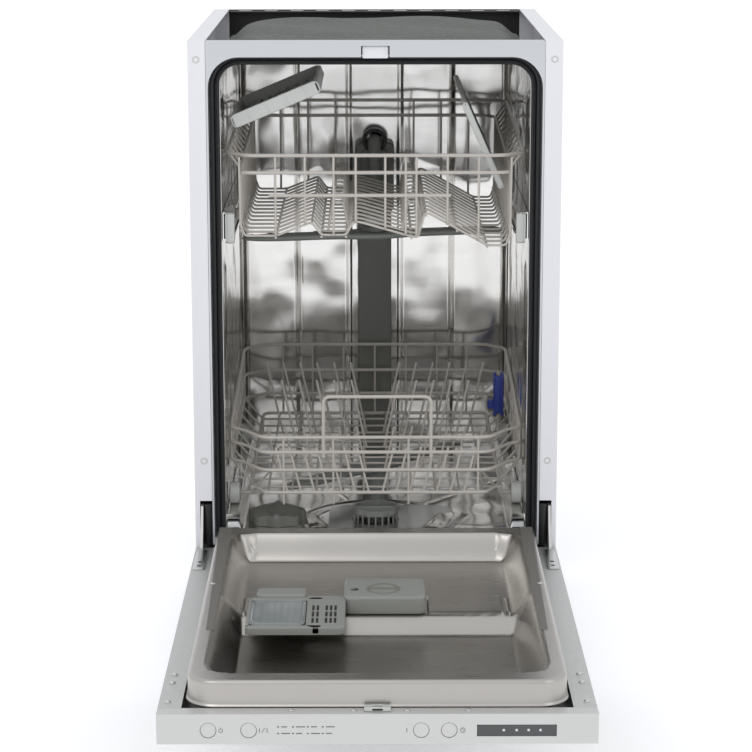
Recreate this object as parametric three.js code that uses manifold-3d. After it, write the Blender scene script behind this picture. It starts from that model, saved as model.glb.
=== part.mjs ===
// Slimline built-in dishwasher with its door open, in millimetres, +Z up.
// X runs across the machine, the door opens towards -Y, and the floor is z = 0.
// The origin is the bottom centre of the box round the machine with the door open.
import * as THREE from 'three';
import { mergeVertices } from 'three/addons/utils/BufferGeometryUtils.js';
import Module from 'manifold-3d';

const wasm = await Module();
wasm.setup();

// Driving dimensions
const WIDTH = 448;
const HEIGHT = 820;
const CABINET_DEPTH = 520;
const DOOR_REACH = 595;
const SHEET = 1.2;
const GAP = 0.3;
const HALF = WIDTH / 2;
const FRONT = (DOOR_REACH - CABINET_DEPTH) / 2;
const BACK = FRONT + CABINET_DEPTH;

// Cabinet shell
const FLANGE = 21;
const PANEL_FOOT = 34;
const SLOT_TOP = 253;
const SLOT_OUTER = 218;
const FRAME_HALF = 202.6;
const OPENING_HALF = 200.3;
const OPENING_TOP = 800.6;
const OPENING_SILL = 206;
const OPENING_RADIUS = 37;
const CATCH_HALF = 17;
const COLLAR_DEPTH = 36;

// Tub
const TUB_HALF = 188;
const TUB_FRONT = FRONT + 36.3;
const TUB_BACK = FRONT + 500;
const TUB_FLOOR = 200;
const TUB_TOP = 792;
const TRACK_TOP = 225;
const TRACK_INNER = 172;

// Door, in its open position
const HINGE_Y = FRONT + 11.5;
const HINGE_Z = 210.5;
const DOOR_HALF = 223;
const DOOR_SKIN_Z = 165;
const DOOR_LEDGE_Z = 197;
const RIM_Z = 225;
const FASCIA_DEPTH = 17.7;
const FASCIA_WALL = 2.5;
const DOOR_REAR_Y = FRONT - 10;
const LINER_FRONT_Y = FRONT - 576.5;
const LINER_REAR_Y = FRONT - 20;
const LINER_HALF = 196.5;
const BOWL_HALF = 178;
const BOWL_FLOOR_HALF = 150;
const BOWL_UPPER_Z = 192;
const BOWL_LOWER_Z = 174.5;

// Controls on the fascia
const BUTTON_RADIUS = 8;
const BUTTON_Z = 179.6;
const BUTTONS = [['power_button', -170.8], ['half_load_button', -129.9], ['program_button', 44.1],
  ['delay_button', 72.3]];
const DISPLAY = { x0: 100.3, x1: 180.7, z0: 173, z1: 185.4 };

// Sump, filter, salt cap and spray arms
const FILTER_Y = FRONT + 95;
const FILTER_RADIUS = 29.5;
const SALT = { x: -126, y: FRONT + 98, radius: 37.5 };
const INLET = { x: 170, z: 118 };
const ARM_Y = FRONT + 240;
const LOWER_ARM_Z = 230;
const UPPER_ARM_Z = 543;

// Upper rail, and the water way from the duct's socket to the upper arm
const RAIL = { y0: FRONT + 45, y1: FRONT + 492, z0: 573, z1: 607, lip: 4 };
const SOCKET_Z = 642;
const FEED_Y = FRONT + 461;
const FEED_Z = 570;

// Baskets
const WIRE = 4.6;
const THIN = 3.2;
const BASKET_FRONT_Y = FRONT + 32;
const UPPER_REAR_Y = FRONT + 448;
const UPPER_HALF = 181;
const UPPER_WALL = 166;
const LOWER_REAR_Y = FRONT + 455;
const LOWER_FLOOR_Z = 255;
const SHELF_LENGTH = 116;
const SHELVES = [['cup_shelf_left', -179, 717, 22.8, FRONT + 44, FRONT + 250, 7],
  ['cup_shelf_right', 152, 628, 114, FRONT + 60, FRONT + 400, -2]];
const HANGER_YS = [FRONT + 118, FRONT + 300];
const ROLLER_RADIUS = 14;
const ROLLER_Z = TRACK_TOP + GAP + ROLLER_RADIUS;
const ROLLER_YS = [['front', FRONT + 90], ['rear', FRONT + 400]];

const COLOURS = {
  white_paint: [0xe9e9ec, 0.45, 0.1],
  steel: [0xc8c6c2, 0.3, 0.9],
  black_steel: [0x1b1b1c, 0.5, 0.3],
  rubber: [0x1d1d1f, 0.8, 0],
  felt: [0x6c7069, 1, 0],
  grey_plastic: [0x6f726c, 0.6, 0],
  light_plastic: [0x9a9d95, 0.55, 0],
  dark_plastic: [0x3a3b3a, 0.6, 0],
  wire: [0xc9c4bd, 0.45, 0],
  fascia: [0xc6c7c6, 0.4, 0.6],
  glass: [0x333436, 0.2, 0],
  blue: [0x2f3e9a, 0.4, 0],
  lid: [0x8f99a3, 0.3, 0],
  board: [0x2f5a3c, 0.6, 0],
};

const group = new THREE.Group();

// Adds one named piece; its geometry is already in the machine's frame.
function piece(name, colour, shape) {
  const [hex, roughness, metalness] = COLOURS[colour];
  const material = new THREE.MeshStandardMaterial({ color: hex, roughness, metalness });
  const mesh = new THREE.Mesh(shape instanceof wasm.Manifold ? geometryOf(shape) : shape, material);
  mesh.name = name;
  group.add(mesh);
}

// Solids and their three.js geometries
function solidOf(geometry) {
  geometry.deleteAttribute('normal');
  geometry.deleteAttribute('uv');
  const merged = mergeVertices(geometry, 1e-4);
  return new wasm.Manifold(new wasm.Mesh({
    numProp: 3,
    vertProperties: new Float32Array(merged.attributes.position.array),
    triVerts: new Uint32Array(merged.index.array),
  }));
}

function geometryOf(solid) {
  const mesh = solid.getMesh();
  const geometry = new THREE.BufferGeometry();
  geometry.setAttribute('position', new THREE.BufferAttribute(new Float32Array(mesh.vertProperties), 3));
  geometry.setIndex(new THREE.BufferAttribute(new Uint32Array(mesh.triVerts), 1));
  return geometry;
}

function join(...solids) {
  return solids.reduce((whole, part) => whole.add(part));
}

function cut(solid, ...tools) {
  return tools.reduce((whole, tool) => whole.subtract(tool), solid);
}

// A box between two corners.
function block(x0, x1, y0, y1, z0, z1) {
  const geometry = new THREE.BoxGeometry(x1 - x0, y1 - y0, z1 - z0);
  geometry.translate((x0 + x1) / 2, (y0 + y1) / 2, (z0 + z1) / 2);
  return solidOf(geometry);
}

// An outline of [a, b] points carried along an axis: (x, y) along Z, (x, z) along Y, (y, z) along X.
function prism(axis, outline, from, to) {
  const shape = outline instanceof THREE.Shape ? outline
    : new THREE.Shape(outline.map(([a, b]) => new THREE.Vector2(a, b)));
  const options = { depth: to - from, bevelEnabled: false, curveSegments: 6 };
  const geometry = new THREE.ExtrudeGeometry(shape, options);
  geometry.translate(0, 0, from);
  if (axis === 'y') {
    geometry.rotateX(Math.PI / 2);
    geometry.translate(0, to + from, 0);
  } else if (axis === 'x') {
    geometry.applyMatrix4(new THREE.Matrix4().makeBasis(
      new THREE.Vector3(0, 1, 0), new THREE.Vector3(0, 0, 1), new THREE.Vector3(1, 0, 0)));
  }
  return solidOf(geometry);
}

// A rectangle with round corners.
function rounded(a0, a1, b0, b1, radius) {
  const shape = new THREE.Shape();
  shape.moveTo(a0 + radius, b0);
  shape.lineTo(a1 - radius, b0);
  shape.absarc(a1 - radius, b0 + radius, radius, -Math.PI / 2, 0, false);
  shape.lineTo(a1, b1 - radius);
  shape.absarc(a1 - radius, b1 - radius, radius, 0, Math.PI / 2, false);
  shape.lineTo(a0 + radius, b1);
  shape.absarc(a0 + radius, b1 - radius, radius, Math.PI / 2, Math.PI, false);
  shape.lineTo(a0, b0 + radius);
  shape.absarc(a0 + radius, b0 + radius, radius, Math.PI, Math.PI * 1.5, false);
  return shape;
}

// A round bar between two points, with its ends carried on by `extra`.
function rod(start, end, diameter, sides = 6, extra = 0) {
  const from = new THREE.Vector3(...start);
  const along = new THREE.Vector3(...end).sub(from);
  const length = along.length();
  const geometry = new THREE.CylinderGeometry(diameter / 2, diameter / 2, length + 2 * extra, sides);
  geometry.translate(0, length / 2, 0);
  geometry.applyQuaternion(new THREE.Quaternion().setFromUnitVectors(
    new THREE.Vector3(0, 1, 0), along.clone().normalize()));
  geometry.translate(from.x, from.y, from.z);
  return solidOf(geometry);
}

// A bent wire through a list of points, mitred at each bend; `closed` joins the last to the first.
function wire(points, diameter, sides = 4, closed = false) {
  const stops = points.map((point) => new THREE.Vector3(...point));
  const count = stops.length;
  const ways = stops.map((stop, i) => stops[(i + 1) % count].clone().sub(stop).normalize());
  const radius = diameter / 2 / Math.cos(Math.PI / sides);
  const across = new THREE.Vector3(0, 0, 1).cross(ways[0]);
  if (across.length() < 0.1) across.set(1, 0, 0).cross(ways[0]);
  across.normalize();
  const upward = ways[0].clone().cross(across);
  let section = Array.from({ length: sides }, (_, k) => {
    const angle = ((k + 0.5) / sides) * Math.PI * 2;
    return across.clone().multiplyScalar(radius * Math.cos(angle))
      .addScaledVector(upward, radius * Math.sin(angle));
  });
  const positions = [];
  stops.forEach((stop, i) => {
    const before = closed || i > 0 ? ways[(i + count - 1) % count] : ways[i];
    const after = closed || i < count - 1 ? ways[i] : before;
    const along = i > 0 ? before : after;
    const plane = before.clone().add(after).normalize();
    const ring = section.map((offset) => offset.clone()
      .addScaledVector(along, -offset.dot(plane) / along.dot(plane)));
    ring.forEach((offset) => positions.push(...offset.clone().add(stop).toArray()));
    section = ring.map((offset) => offset.clone().addScaledVector(after, -offset.dot(after)));
  });
  const faces = [];
  for (let i = 0; i < (closed ? count : count - 1); i += 1) {
    for (let k = 0; k < sides; k += 1) {
      const [a, b] = [i * sides + k, i * sides + (k + 1) % sides];
      const [c, d] = [a, b].map((index) => (index + sides) % (count * sides));
      faces.push(a, b, d, a, d, c);
    }
  }
  for (let k = 1; k < sides - 1 && !closed; k += 1) {
    const last = (count - 1) * sides;
    faces.push(0, k + 1, k, last, last + k, last + k + 1);
  }
  const geometry = new THREE.BufferGeometry();
  geometry.setAttribute('position', new THREE.Float32BufferAttribute(positions, 3));
  geometry.setIndex(faces);
  return solidOf(geometry);
}

function disc(x, y, z0, z1, radius, sides = 24) {
  return rod([x, y, z0], [x, y, z1], radius * 2, sides);
}

// A ring section turned about a vertical or horizontal axis.
function turned(profile, sides, axis, x, y, z) {
  const geometry = new THREE.LatheGeometry(profile.map(([r, h]) => new THREE.Vector2(r, h)), sides);
  if (axis === 'z') geometry.rotateX(Math.PI / 2);
  if (axis === 'x') geometry.rotateZ(-Math.PI / 2);
  geometry.translate(x, y, z);
  return solidOf(geometry);
}

function mirrored(solid) {
  return solid.mirror([1, 0, 0]);
}

// Side panels: one folded sheet each, with a front, a top and a rear flange. The front flange is slotted
// at the bottom for the hinge.
function sidePanel() {
  const outline = [[-HALF, FRONT], [-HALF + FLANGE, FRONT], [-HALF + FLANGE, FRONT + SHEET],
    [-HALF + SHEET, FRONT + SHEET], [-HALF + SHEET, BACK - 2 * SHEET], [-HALF + FLANGE, BACK - 2 * SHEET],
    [-HALF + FLANGE, BACK - SHEET - GAP], [-HALF, BACK - SHEET - GAP]];
  const folded = prism('z', outline, PANEL_FOOT, HEIGHT);
  const topFlange = block(-HALF, -HALF + FLANGE, FRONT, BACK - SHEET - GAP, HEIGHT - SHEET, HEIGHT);
  const slot = block(-SLOT_OUTER, -HALF + FLANGE + 1, FRONT - 1, FRONT + SHEET + 1,
    PANEL_FOOT + 120, SLOT_TOP);
  return cut(join(folded, topFlange), slot);
}

// Front frame: the crossbar over the door opening, the narrow strips beside it, the folded collar that the
// gasket sits in, and the catch tongue behind the notch for the door latch.
function frontFrame() {
  const outer = block(-FRAME_HALF, FRAME_HALF, FRONT, FRONT + SHEET, 196, HEIGHT - SHEET);
  const collarShape = rounded(-OPENING_HALF - SHEET, OPENING_HALF + SHEET, OPENING_SILL - SHEET,
    OPENING_TOP + SHEET, OPENING_RADIUS + SHEET);
  const collar = prism('y', collarShape, FRONT, FRONT + COLLAR_DEPTH);
  const opening = prism('y', rounded(-OPENING_HALF, OPENING_HALF, OPENING_SILL, OPENING_TOP, OPENING_RADIUS),
    FRONT - 1, FRONT + COLLAR_DEPTH + 1);
  const lower = block(-OPENING_HALF, OPENING_HALF, FRONT - 1, FRONT + COLLAR_DEPTH + 1,
    OPENING_SILL, OPENING_SILL + 60);
  const lowerCollar = block(-OPENING_HALF - SHEET, OPENING_HALF + SHEET, FRONT, FRONT + COLLAR_DEPTH,
    OPENING_SILL - SHEET, OPENING_SILL + 60);
  const topFlange = block(-FRAME_HALF, FRAME_HALF, FRONT, FRONT + 28, HEIGHT - 2 * SHEET, HEIGHT - SHEET);
  const notch = block(-CATCH_HALF, CATCH_HALF, FRONT - 1, FRONT + 14, OPENING_TOP - 4, 814);
  const tongue = block(-12, 12, FRONT + 5, FRONT + 7, OPENING_TOP + 1.4, HEIGHT - SHEET);
  return join(cut(join(outer, collar, lowerCollar, topFlange), opening, lower, notch), tongue);
}

// Door gasket: a U of rubber on the back of the collar, open at the sill.
function doorGasket() {
  const outer = prism('y', rounded(-OPENING_HALF + GAP, OPENING_HALF - GAP, 100, OPENING_TOP - GAP,
    OPENING_RADIUS - GAP), FRONT + COLLAR_DEPTH - 8, FRONT + COLLAR_DEPTH);
  const inner = prism('y', rounded(-TUB_HALF - 0.5, TUB_HALF + 0.5, 90, TUB_TOP, OPENING_RADIUS - 11),
    FRONT + COLLAR_DEPTH - 9, FRONT + COLLAR_DEPTH + 1);
  const below = block(-HALF, HALF, FRONT + COLLAR_DEPTH - 9, FRONT + COLLAR_DEPTH + 1,
    80, OPENING_SILL + GAP);
  return cut(outer, inner, below);
}

// Tub floor: a sheet with a raised hollow track on each side for the rollers, and holes for what rises
// through it.
function tubFloor() {
  const edge = TUB_HALF - GAP;
  const sheet = block(-edge, edge, TUB_FRONT, TUB_BACK - GAP, TUB_FLOOR - SHEET, TUB_FLOOR);
  const track = block(-edge, -TRACK_INNER, TUB_FRONT, TUB_BACK - GAP, TUB_FLOOR - SHEET, TRACK_TOP);
  const hollow = block(-edge + SHEET, -TRACK_INNER - SHEET, TUB_FRONT + SHEET, TUB_BACK - 2,
    TUB_FLOOR - 2 * SHEET, TRACK_TOP - SHEET);
  const sumpHole = disc(0, FILTER_Y, TUB_FLOOR - 5, TUB_FLOOR + 5, 34);
  const saltHole = disc(SALT.x, SALT.y, TUB_FLOOR - 5, TUB_FLOOR + 5, 31);
  const armHole = disc(0, ARM_Y, TUB_FLOOR - 5, TUB_FLOOR + 5, 14);
  return cut(join(sheet, track, mirrored(track)), hollow, mirrored(hollow), sumpHole, saltHole, armHole);
}

// Felt blanket over the tub: a pillow of stacked ovals.
function feltBlanket() {
  const layers = [[186, 37, 462, 793.8, 803], [190, 8, 470, 802.5, 810], [176, 12, 440, 809, 816.5]];
  return join(...layers.map(([half, front, rear, z0, z1]) =>
    prism('z', rounded(-half, half, FRONT + front, FRONT + rear, 110), z0, z1)));
}

// Plastic base: floor plate, kick panel in front, low side and rear walls, and holes for the feet.
function baseTray() {
  const y0 = FRONT + 12;
  const y1 = BACK - 4;
  const plate = block(-220, 220, y0, y1, 30, 33);
  const kick = block(-220, 220, y0, y0 + 3, 30, 154);
  const left = block(-220, -217, y0, y1, 30, 96);
  const rear = block(-220, 220, y1 - 3, y1, 30, 96);
  const holes = footPlaces().map(([, x, y]) => disc(x, y, 20, 40, 6, 12));
  return cut(join(plate, kick, left, mirrored(left), rear), ...holes);
}

function footPlaces() {
  return [['foot_front_left', -195, FRONT + 42], ['foot_front_right', 195, FRONT + 42],
    ['foot_rear', 0, FRONT + 490]];
}

function foot(x, y) {
  const pad = turned([[0, 0], [20, 0], [20, 5], [12, 9], [0, 9]], 16, 'z', x, y, 0);
  return join(pad, disc(x, y, 8, 62, 5, 12));
}

// Hinge bracket with its pin, fixed in the cabinet.
function hingeBracket() {
  const body = block(-213, -203.3, FRONT - 3, FRONT + 40, 190, 249);
  return join(body, rod([-212, HINGE_Y, HINGE_Z], [-219, HINGE_Y, HINGE_Z], 8, 12));
}

// Hinge arm on the door: a plate that turns on the pin, and the channel that lies in the door's ledge.
function hingeArm() {
  const outline = [[FRONT + 24, 198], [FRONT + 24, 222], [FRONT + 12, 247], [FRONT - 3, 247],
    [FRONT - 12, 222], [FRONT - 29, 198], [FRONT - 63, 198], [FRONT - 63, 196.4], [FRONT + 20, 196.4]];
  const plate = prism('x', outline, -216.9, -213.9);
  const bore = rod([-210, HINGE_Y, HINGE_Z], [-220, HINGE_Y, HINGE_Z], 8.6, 12);
  const channel = block(-214.4, -199.6, FRONT - 104, FRONT - 8, 178, 195);
  const web = block(-216.9, -213.5, FRONT - 30, FRONT - 8, 182, 200);
  return cut(join(plate, channel, web), bore);
}

function doorSpring() {
  return rod([-206, FRONT + 120, 60], [-206, FRONT + 120, 190], 16, 12);
}

// Fixed upper rail: a steel channel on the tub wall, open towards the basket.
function upperRail() {
  const { y0, y1, z0, z1, lip } = RAIL;
  const body = block(-187.5, -173.5, y0, y1, z0, z1);
  const inside = block(-186.2, -170, y0 - 5, y1 + 8, z0 + 1.3, z1 - 1.3);
  const lips = join(block(-174.7, -173.5, y0, y1, z0, z0 + lip), block(-174.7, -173.5, y0, y1, z1 - lip, z1));
  return join(cut(body, inside), lips);
}

// Sliding bar of the upper basket with its plastic end cap, hooked to the basket side.
function basketSlide() {
  const bar = block(-184.5, -176, FRONT + 40, FRONT + 480, 577.5, 602.5);
  const core = block(-182.7, -177.8, FRONT + 30, FRONT + 500, 579.5, 600.5);
  const cap = prism('x', rounded(FRONT + 29.5, FRONT + 43, 571, 608, 4), -183.5, -172.5);
  return join(cut(bar, core), cap);
}

// Water duct on the back wall with the round socket that feeds the upper basket.
function waterDuct() {
  const body = block(-24, 24, FRONT + 480, TUB_BACK - GAP, TUB_FLOOR + GAP, 612);
  const head = block(-27, 27, FRONT + 476, TUB_BACK - GAP, 545, SOCKET_Z - 2);
  const socket = rod([0, FRONT + 472, SOCKET_Z], [0, TUB_BACK - GAP, SOCKET_Z], 34, 20);
  const bore = rod([0, FRONT + 462, SOCKET_Z], [0, FRONT + 490, SOCKET_Z], 24, 16);
  return cut(join(body, head, socket), bore);
}

// Sump: the well under the filter cup and the flat body that the pumps stand against.
function sump() {
  const well = disc(0, FILTER_Y, 110, TUB_FLOOR, 33);
  const body = block(-58, 58, FRONT + 52, FRONT + 178, 70, 116);
  const bore = disc(0, FILTER_Y, 82, TUB_FLOOR + 5, 31);
  return cut(join(well, body), bore);
}

// Coarse filter cup with its two turning lugs and slotted wall.
function filterCup() {
  const wall = cut(disc(0, FILTER_Y, 160, 220, FILTER_RADIUS),
    disc(0, FILTER_Y, 159, 221, FILTER_RADIUS - 2));
  const base = disc(0, FILTER_Y, 160, 162, FILTER_RADIUS - 1);
  const bridge = block(-FILTER_RADIUS + 1, FILTER_RADIUS - 1, FILTER_Y - 2, FILTER_Y + 2, 205, 213);
  const slots = [30, 75, 105, 150, 210, 255, 285, 330].map((degrees) => {
    const angle = THREE.MathUtils.degToRad(degrees);
    const tip = [Math.cos(angle) * 40, FILTER_Y + Math.sin(angle) * 40, 192];
    return rod([0, FILTER_Y, 192], tip, 8, 6);
  });
  return join(cut(wall, ...slots), base, bridge);
}

function fineFilter() {
  const plate = prism('z', rounded(-60, 100, FRONT + 41, FRONT + 160, 24), TUB_FLOOR + GAP, TUB_FLOOR + 2.4);
  return cut(plate, disc(0, FILTER_Y, 190, 210, 30.3));
}

function waterSoftener() {
  const body = block(-184, -70, FRONT + 52, FRONT + 240, 62, 170);
  return cut(join(body, disc(SALT.x, SALT.y, 160, TUB_FLOOR + 4, 28)), disc(SALT.x, SALT.y, 120, 215, 22));
}

// Salt cap: a lobed disc.
function saltCap() {
  const outline = [];
  const lobes = 8;
  for (let i = 0; i < lobes * 4; i += 1) {
    const angle = (i / (lobes * 4)) * Math.PI * 2;
    const radius = SALT.radius - 2 + 2 * Math.cos(angle * lobes);
    outline.push([SALT.x + radius * Math.cos(angle), SALT.y + radius * Math.sin(angle)]);
  }
  const underside = disc(SALT.x, SALT.y, TUB_FLOOR - 1, TUB_FLOOR + 4.6, 29.5);
  return cut(prism('z', outline, TUB_FLOOR + 0.4, TUB_FLOOR + 14.4), underside);
}

// A spray arm: two tapered blades on a hub, turned about its hub by `yaw` degrees.
function sprayArm(reach, z0, z1, hub, yaw) {
  const outline = new THREE.Shape();
  outline.moveTo(-reach + 14, -14);
  outline.lineTo(0, -24);
  outline.lineTo(reach - 14, -14);
  outline.absarc(reach - 14, 0, 14, -Math.PI / 2, Math.PI / 2, false);
  outline.lineTo(0, 24);
  outline.lineTo(-reach + 14, 14);
  outline.absarc(-reach + 14, 0, 14, Math.PI / 2, Math.PI * 1.5, false);
  const blade = prism('z', outline, z0, z1);
  const neck = disc(0, 0, hub[0], hub[1], 17, 16);
  return join(blade, neck).rotate([0, 0, yaw]).translate([0, ARM_Y, 0]);
}

function circulationPump() {
  const body = rod([-30, FRONT + 300, 112], [120, FRONT + 300, 112], 104, 20);
  return join(body, rod([0, FRONT + 250, 112], [0, FRONT + 190, 112], 40, 12));
}

// Inlet valve: its hose stub stands in the hole of the rear panel.
function inletValve() {
  const stub = rod([INLET.x, FRONT + 495, INLET.z], [INLET.x, BACK - 0.5, INLET.z], 24, 20);
  return join(block(INLET.x - 20, INLET.x + 20, FRONT + 450, FRONT + 500, INLET.z - 18, INLET.z + 22), stub);
}

function rearPanel() {
  const sheet = block(-HALF, HALF, BACK - SHEET, BACK, PANEL_FOOT, HEIGHT);
  return cut(sheet, rod([INLET.x, BACK - 5, INLET.z], [INLET.x, BACK + 5, INLET.z], 28, 20));
}

function drainPump() {
  return join(rod([90, FRONT + 110, 86], [176, FRONT + 110, 86], 60, 16),
    rod([62, FRONT + 110, 86], [95, FRONT + 110, 86], 34, 12));
}

// Door outer panel: a tray with folded side ledges, cut for the hinge arms, and the short skirt that swings
// under the tub.
function doorOuterPanel() {
  const y0 = FRONT - DOOR_REACH + FASCIA_DEPTH + GAP;
  const tray = block(-DOOR_HALF, DOOR_HALF, y0, DOOR_REAR_Y, DOOR_SKIN_Z, DOOR_LEDGE_Z);
  const hollow = block(-DOOR_HALF + SHEET, DOOR_HALF - SHEET, y0 - 1, DOOR_REAR_Y - SHEET,
    DOOR_SKIN_Z + SHEET, DOOR_LEDGE_Z - SHEET);
  const mouth = block(-LINER_HALF - 2.5, LINER_HALF + 2.5, y0 - 1, LINER_REAR_Y + 1, DOOR_LEDGE_Z - 3,
    DOOR_LEDGE_Z + 1);
  const armCut = block(-214.7, -195, FRONT - 106, DOOR_REAR_Y + 1, 177, DOOR_LEDGE_Z + 1);
  const plateCut = block(-217.3, -214, FRONT - 66, DOOR_REAR_Y + 1, 180, DOOR_LEDGE_Z + 1);
  const skirt = block(-196, 196, DOOR_REAR_Y - 2, FRONT + 36, DOOR_SKIN_Z, DOOR_SKIN_Z + SHEET);
  return join(cut(tray, hollow, mouth, armCut, mirrored(armCut), plateCut, mirrored(plateCut)), skirt);
}

// Door inner liner: a raised rim with a two-level bowl pressed into it.
function bowl(offset) {
  const y = (d) => FRONT - d;
  const profile = [[y(44) + offset, RIM_Z + 2], [y(44) + offset, RIM_Z],
    [y(59) + offset, BOWL_UPPER_Z - offset], [y(264) + offset * 0.4, BOWL_UPPER_Z - offset],
    [y(289) + offset * 0.4, BOWL_LOWER_Z - offset], [y(541) - offset, BOWL_LOWER_Z - offset],
    [y(551) - offset, RIM_Z], [y(551) - offset, RIM_Z + 2]];
  const along = prism('x', profile, -BOWL_HALF - offset, BOWL_HALF + offset);
  const low = BOWL_LOWER_Z - offset;
  const slope = [[-BOWL_FLOOR_HALF - offset, low], [BOWL_FLOOR_HALF + offset, low],
    [BOWL_HALF - 8 + offset, RIM_Z - 8], [BOWL_HALF + offset, RIM_Z], [BOWL_HALF + offset, RIM_Z + 2],
    [-BOWL_HALF - offset, RIM_Z + 2], [-BOWL_HALF - offset, RIM_Z], [-BOWL_HALF + 8 - offset, RIM_Z - 8]];
  const across = prism('y', slope, FRONT - 560, FRONT - 30);
  const corners = prism('z', rounded(-BOWL_HALF - offset, BOWL_HALF + offset, FRONT - 551 - offset,
    FRONT - 44 + offset, 26 + offset), 150, RIM_Z + 2);
  return along.intersect(across).intersect(corners);
}

function doorInnerLiner() {
  const shape = rounded(-LINER_HALF, LINER_HALF, LINER_FRONT_Y, LINER_REAR_Y, 32);
  const under = rounded(-LINER_HALF + SHEET, LINER_HALF - SHEET, LINER_FRONT_Y + SHEET,
    LINER_REAR_Y - SHEET, 31);
  const rim = cut(prism('z', shape, DOOR_LEDGE_Z + GAP, RIM_Z),
    prism('z', under, DOOR_LEDGE_Z, RIM_Z - SHEET));
  const trimmed = bowl(SHEET).intersect(block(-HALF, HALF, FRONT - 600, FRONT, 100, RIM_Z));
  return cut(join(rim, trimmed), bowl(0));
}

// Control fascia: a shallow box open to the rear, bored for the buttons and cut for the display.
function controlFascia() {
  const y0 = FRONT - DOOR_REACH;
  const y1 = y0 + FASCIA_DEPTH;
  const body = block(-DOOR_HALF, DOOR_HALF, y0, y1, DOOR_SKIN_Z, DOOR_LEDGE_Z);
  const hollow = block(-DOOR_HALF + FASCIA_WALL, DOOR_HALF - FASCIA_WALL, y0 + FASCIA_WALL, y1 + 1,
    DOOR_SKIN_Z + FASCIA_WALL, DOOR_LEDGE_Z - FASCIA_WALL);
  const bores = BUTTONS.map(([, x]) => rod([x, y0 - 1, BUTTON_Z], [x, y0 + 5, BUTTON_Z],
    2 * (BUTTON_RADIUS + GAP), 24));
  const window = block(DISPLAY.x0, DISPLAY.x1, y0 - 1, y0 + 5, DISPLAY.z0, DISPLAY.z1);
  return cut(body, hollow, ...bores, window);
}

function displayWindow() {
  const y0 = FRONT - DOOR_REACH;
  return block(DISPLAY.x0 + GAP, DISPLAY.x1 - GAP, y0 + 0.2, y0 + 6, DISPLAY.z0 + GAP, DISPLAY.z1 - GAP);
}

function controlBoard() {
  const y0 = FRONT - DOOR_REACH + 12;
  return block(-195, 195, y0, y0 + 1.6, 170, 192);
}

function doorLatch() {
  const y0 = FRONT - 589.5;
  const body = block(-13.5, 13.5, y0, y0 + 11, DOOR_LEDGE_Z + GAP, 201.8);
  return cut(body, block(-5, 5, y0 + 2.5, y0 + 8, DOOR_LEDGE_Z + 2, 203));
}

// Dispenser: the detergent tray, the rinse-aid box and the raised lip behind the lid.
function dispenserBody() {
  const z0 = BOWL_UPPER_Z + GAP;
  const tray = prism('z', rounded(-145, -35, FRONT - 365, FRONT - 256, 10), 202, 211);
  const well = block(-137, -84, FRONT - 350, FRONT - 274, 203.6, 215);
  const lidSeat = block(-142, -79, FRONT - 356, FRONT - 266, 208.5, 215);
  const box = block(-37, 56, FRONT - 266, FRONT - 193, z0, 214);
  const lip = prism('z', rounded(-137, -80, FRONT - 260, FRONT - 230, 6), z0 + 4, 214);
  const capBore = disc(8, FRONT - 236, 207, 220, 20.5, 24);
  return cut(join(cut(tray, well, lidSeat), box, lip), capBore);
}

function detergentLid() {
  return prism('z', rounded(-141.5, -79.5, FRONT - 355.5, FRONT - 266.5, 12), 208.8, 211.4);
}

function rinseCap() {
  const cap = disc(8, FRONT - 236, 207.3, 213, 20);
  return join(cap, block(-11, 27, FRONT - 238, FRONT - 234, 212, 215.5));
}

// Upper basket: two loops, the stepped floor wires with upright sides that flare out to the top loop, front
// posts, a low front bar and the slide hangers.
const UPPER_FLOOR = [[-164, 580], [-125, 580], [-78, 597], [-66, 580], [-36, 580], [-26, 597], [44, 579],
  [62, 609], [138, 567], [164, 567]];

function upperBasket() {
  const y0 = BASKET_FRONT_Y;
  const y1 = UPPER_REAR_Y;
  const loop = (half, corner, front, rear) => wire([[-half + corner, y0, front], [half - corner, y0, front],
    [half, y0 + corner, front], [half, y1 - 20, rear], [half - 20, y1, rear], [-half + 20, y1, rear],
    [-half, y1 - 20, rear], [-half, y0 + corner, front]], WIRE, 5, true);
  const steps = [0.03, 0.22, 0.41, 0.6, 0.79, 0.95];
  const crossings = steps.map((step) => {
    const y = y0 + (y1 - y0) * step;
    const top = 680 + 22 * step;
    const upright = [[-UPPER_WALL, y, top - 21], ...UPPER_FLOOR.map(([x, z]) => [x, y, z]),
      [UPPER_WALL, y, top - 21]];
    const flared = [[-UPPER_HALF, y, top], ...upright, [UPPER_HALF, y, top]];
    return wire(step > 0.1 ? flared : upright, THIN);
  });
  const runners = [[-164, 580], [-78, 597], [-26, 597], [62, 609], [164, 567]].map(([x, z]) =>
    wire([[x, y0, z], [x, y1, z]], THIN));
  const posts = [[-125, 580], [-51, 580], [37, 581], [90, 594]].map(([x, z]) =>
    wire([[x, y0, 679], [x, y0, z], [x, y0 + 14, z]], THIN));
  const rearPosts = [[-110, 585], [-52, 580], [100, 588]].map(([x, z]) =>
    wire([[x, y1, 701], [x, y1, z], [x, y1 - 24, z]], THIN));
  const frontBar = wire([[-126, y0, 630], [91, y0, 630]], WIRE, 5);
  const hangers = [-1, 1].flatMap((side) => {
    const beam = wire([[side * 166.5, y0 + 13, 600], [side * 166.5, y1 - 20, 600]], THIN);
    const ends = [side * 166, side * 175.4].sort((a, b) => a - b);
    const hooks = HANGER_YS.map((y) => block(...ends, y - 6, y + 6, 588, 601));
    return [beam, ...hooks];
  });
  return join(loop(UPPER_HALF, 26, 679, 701), loop(UPPER_WALL, 9, 658, 680), ...crossings, ...runners,
    ...posts, ...rearPosts, frontBar, ...hangers);
}

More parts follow.
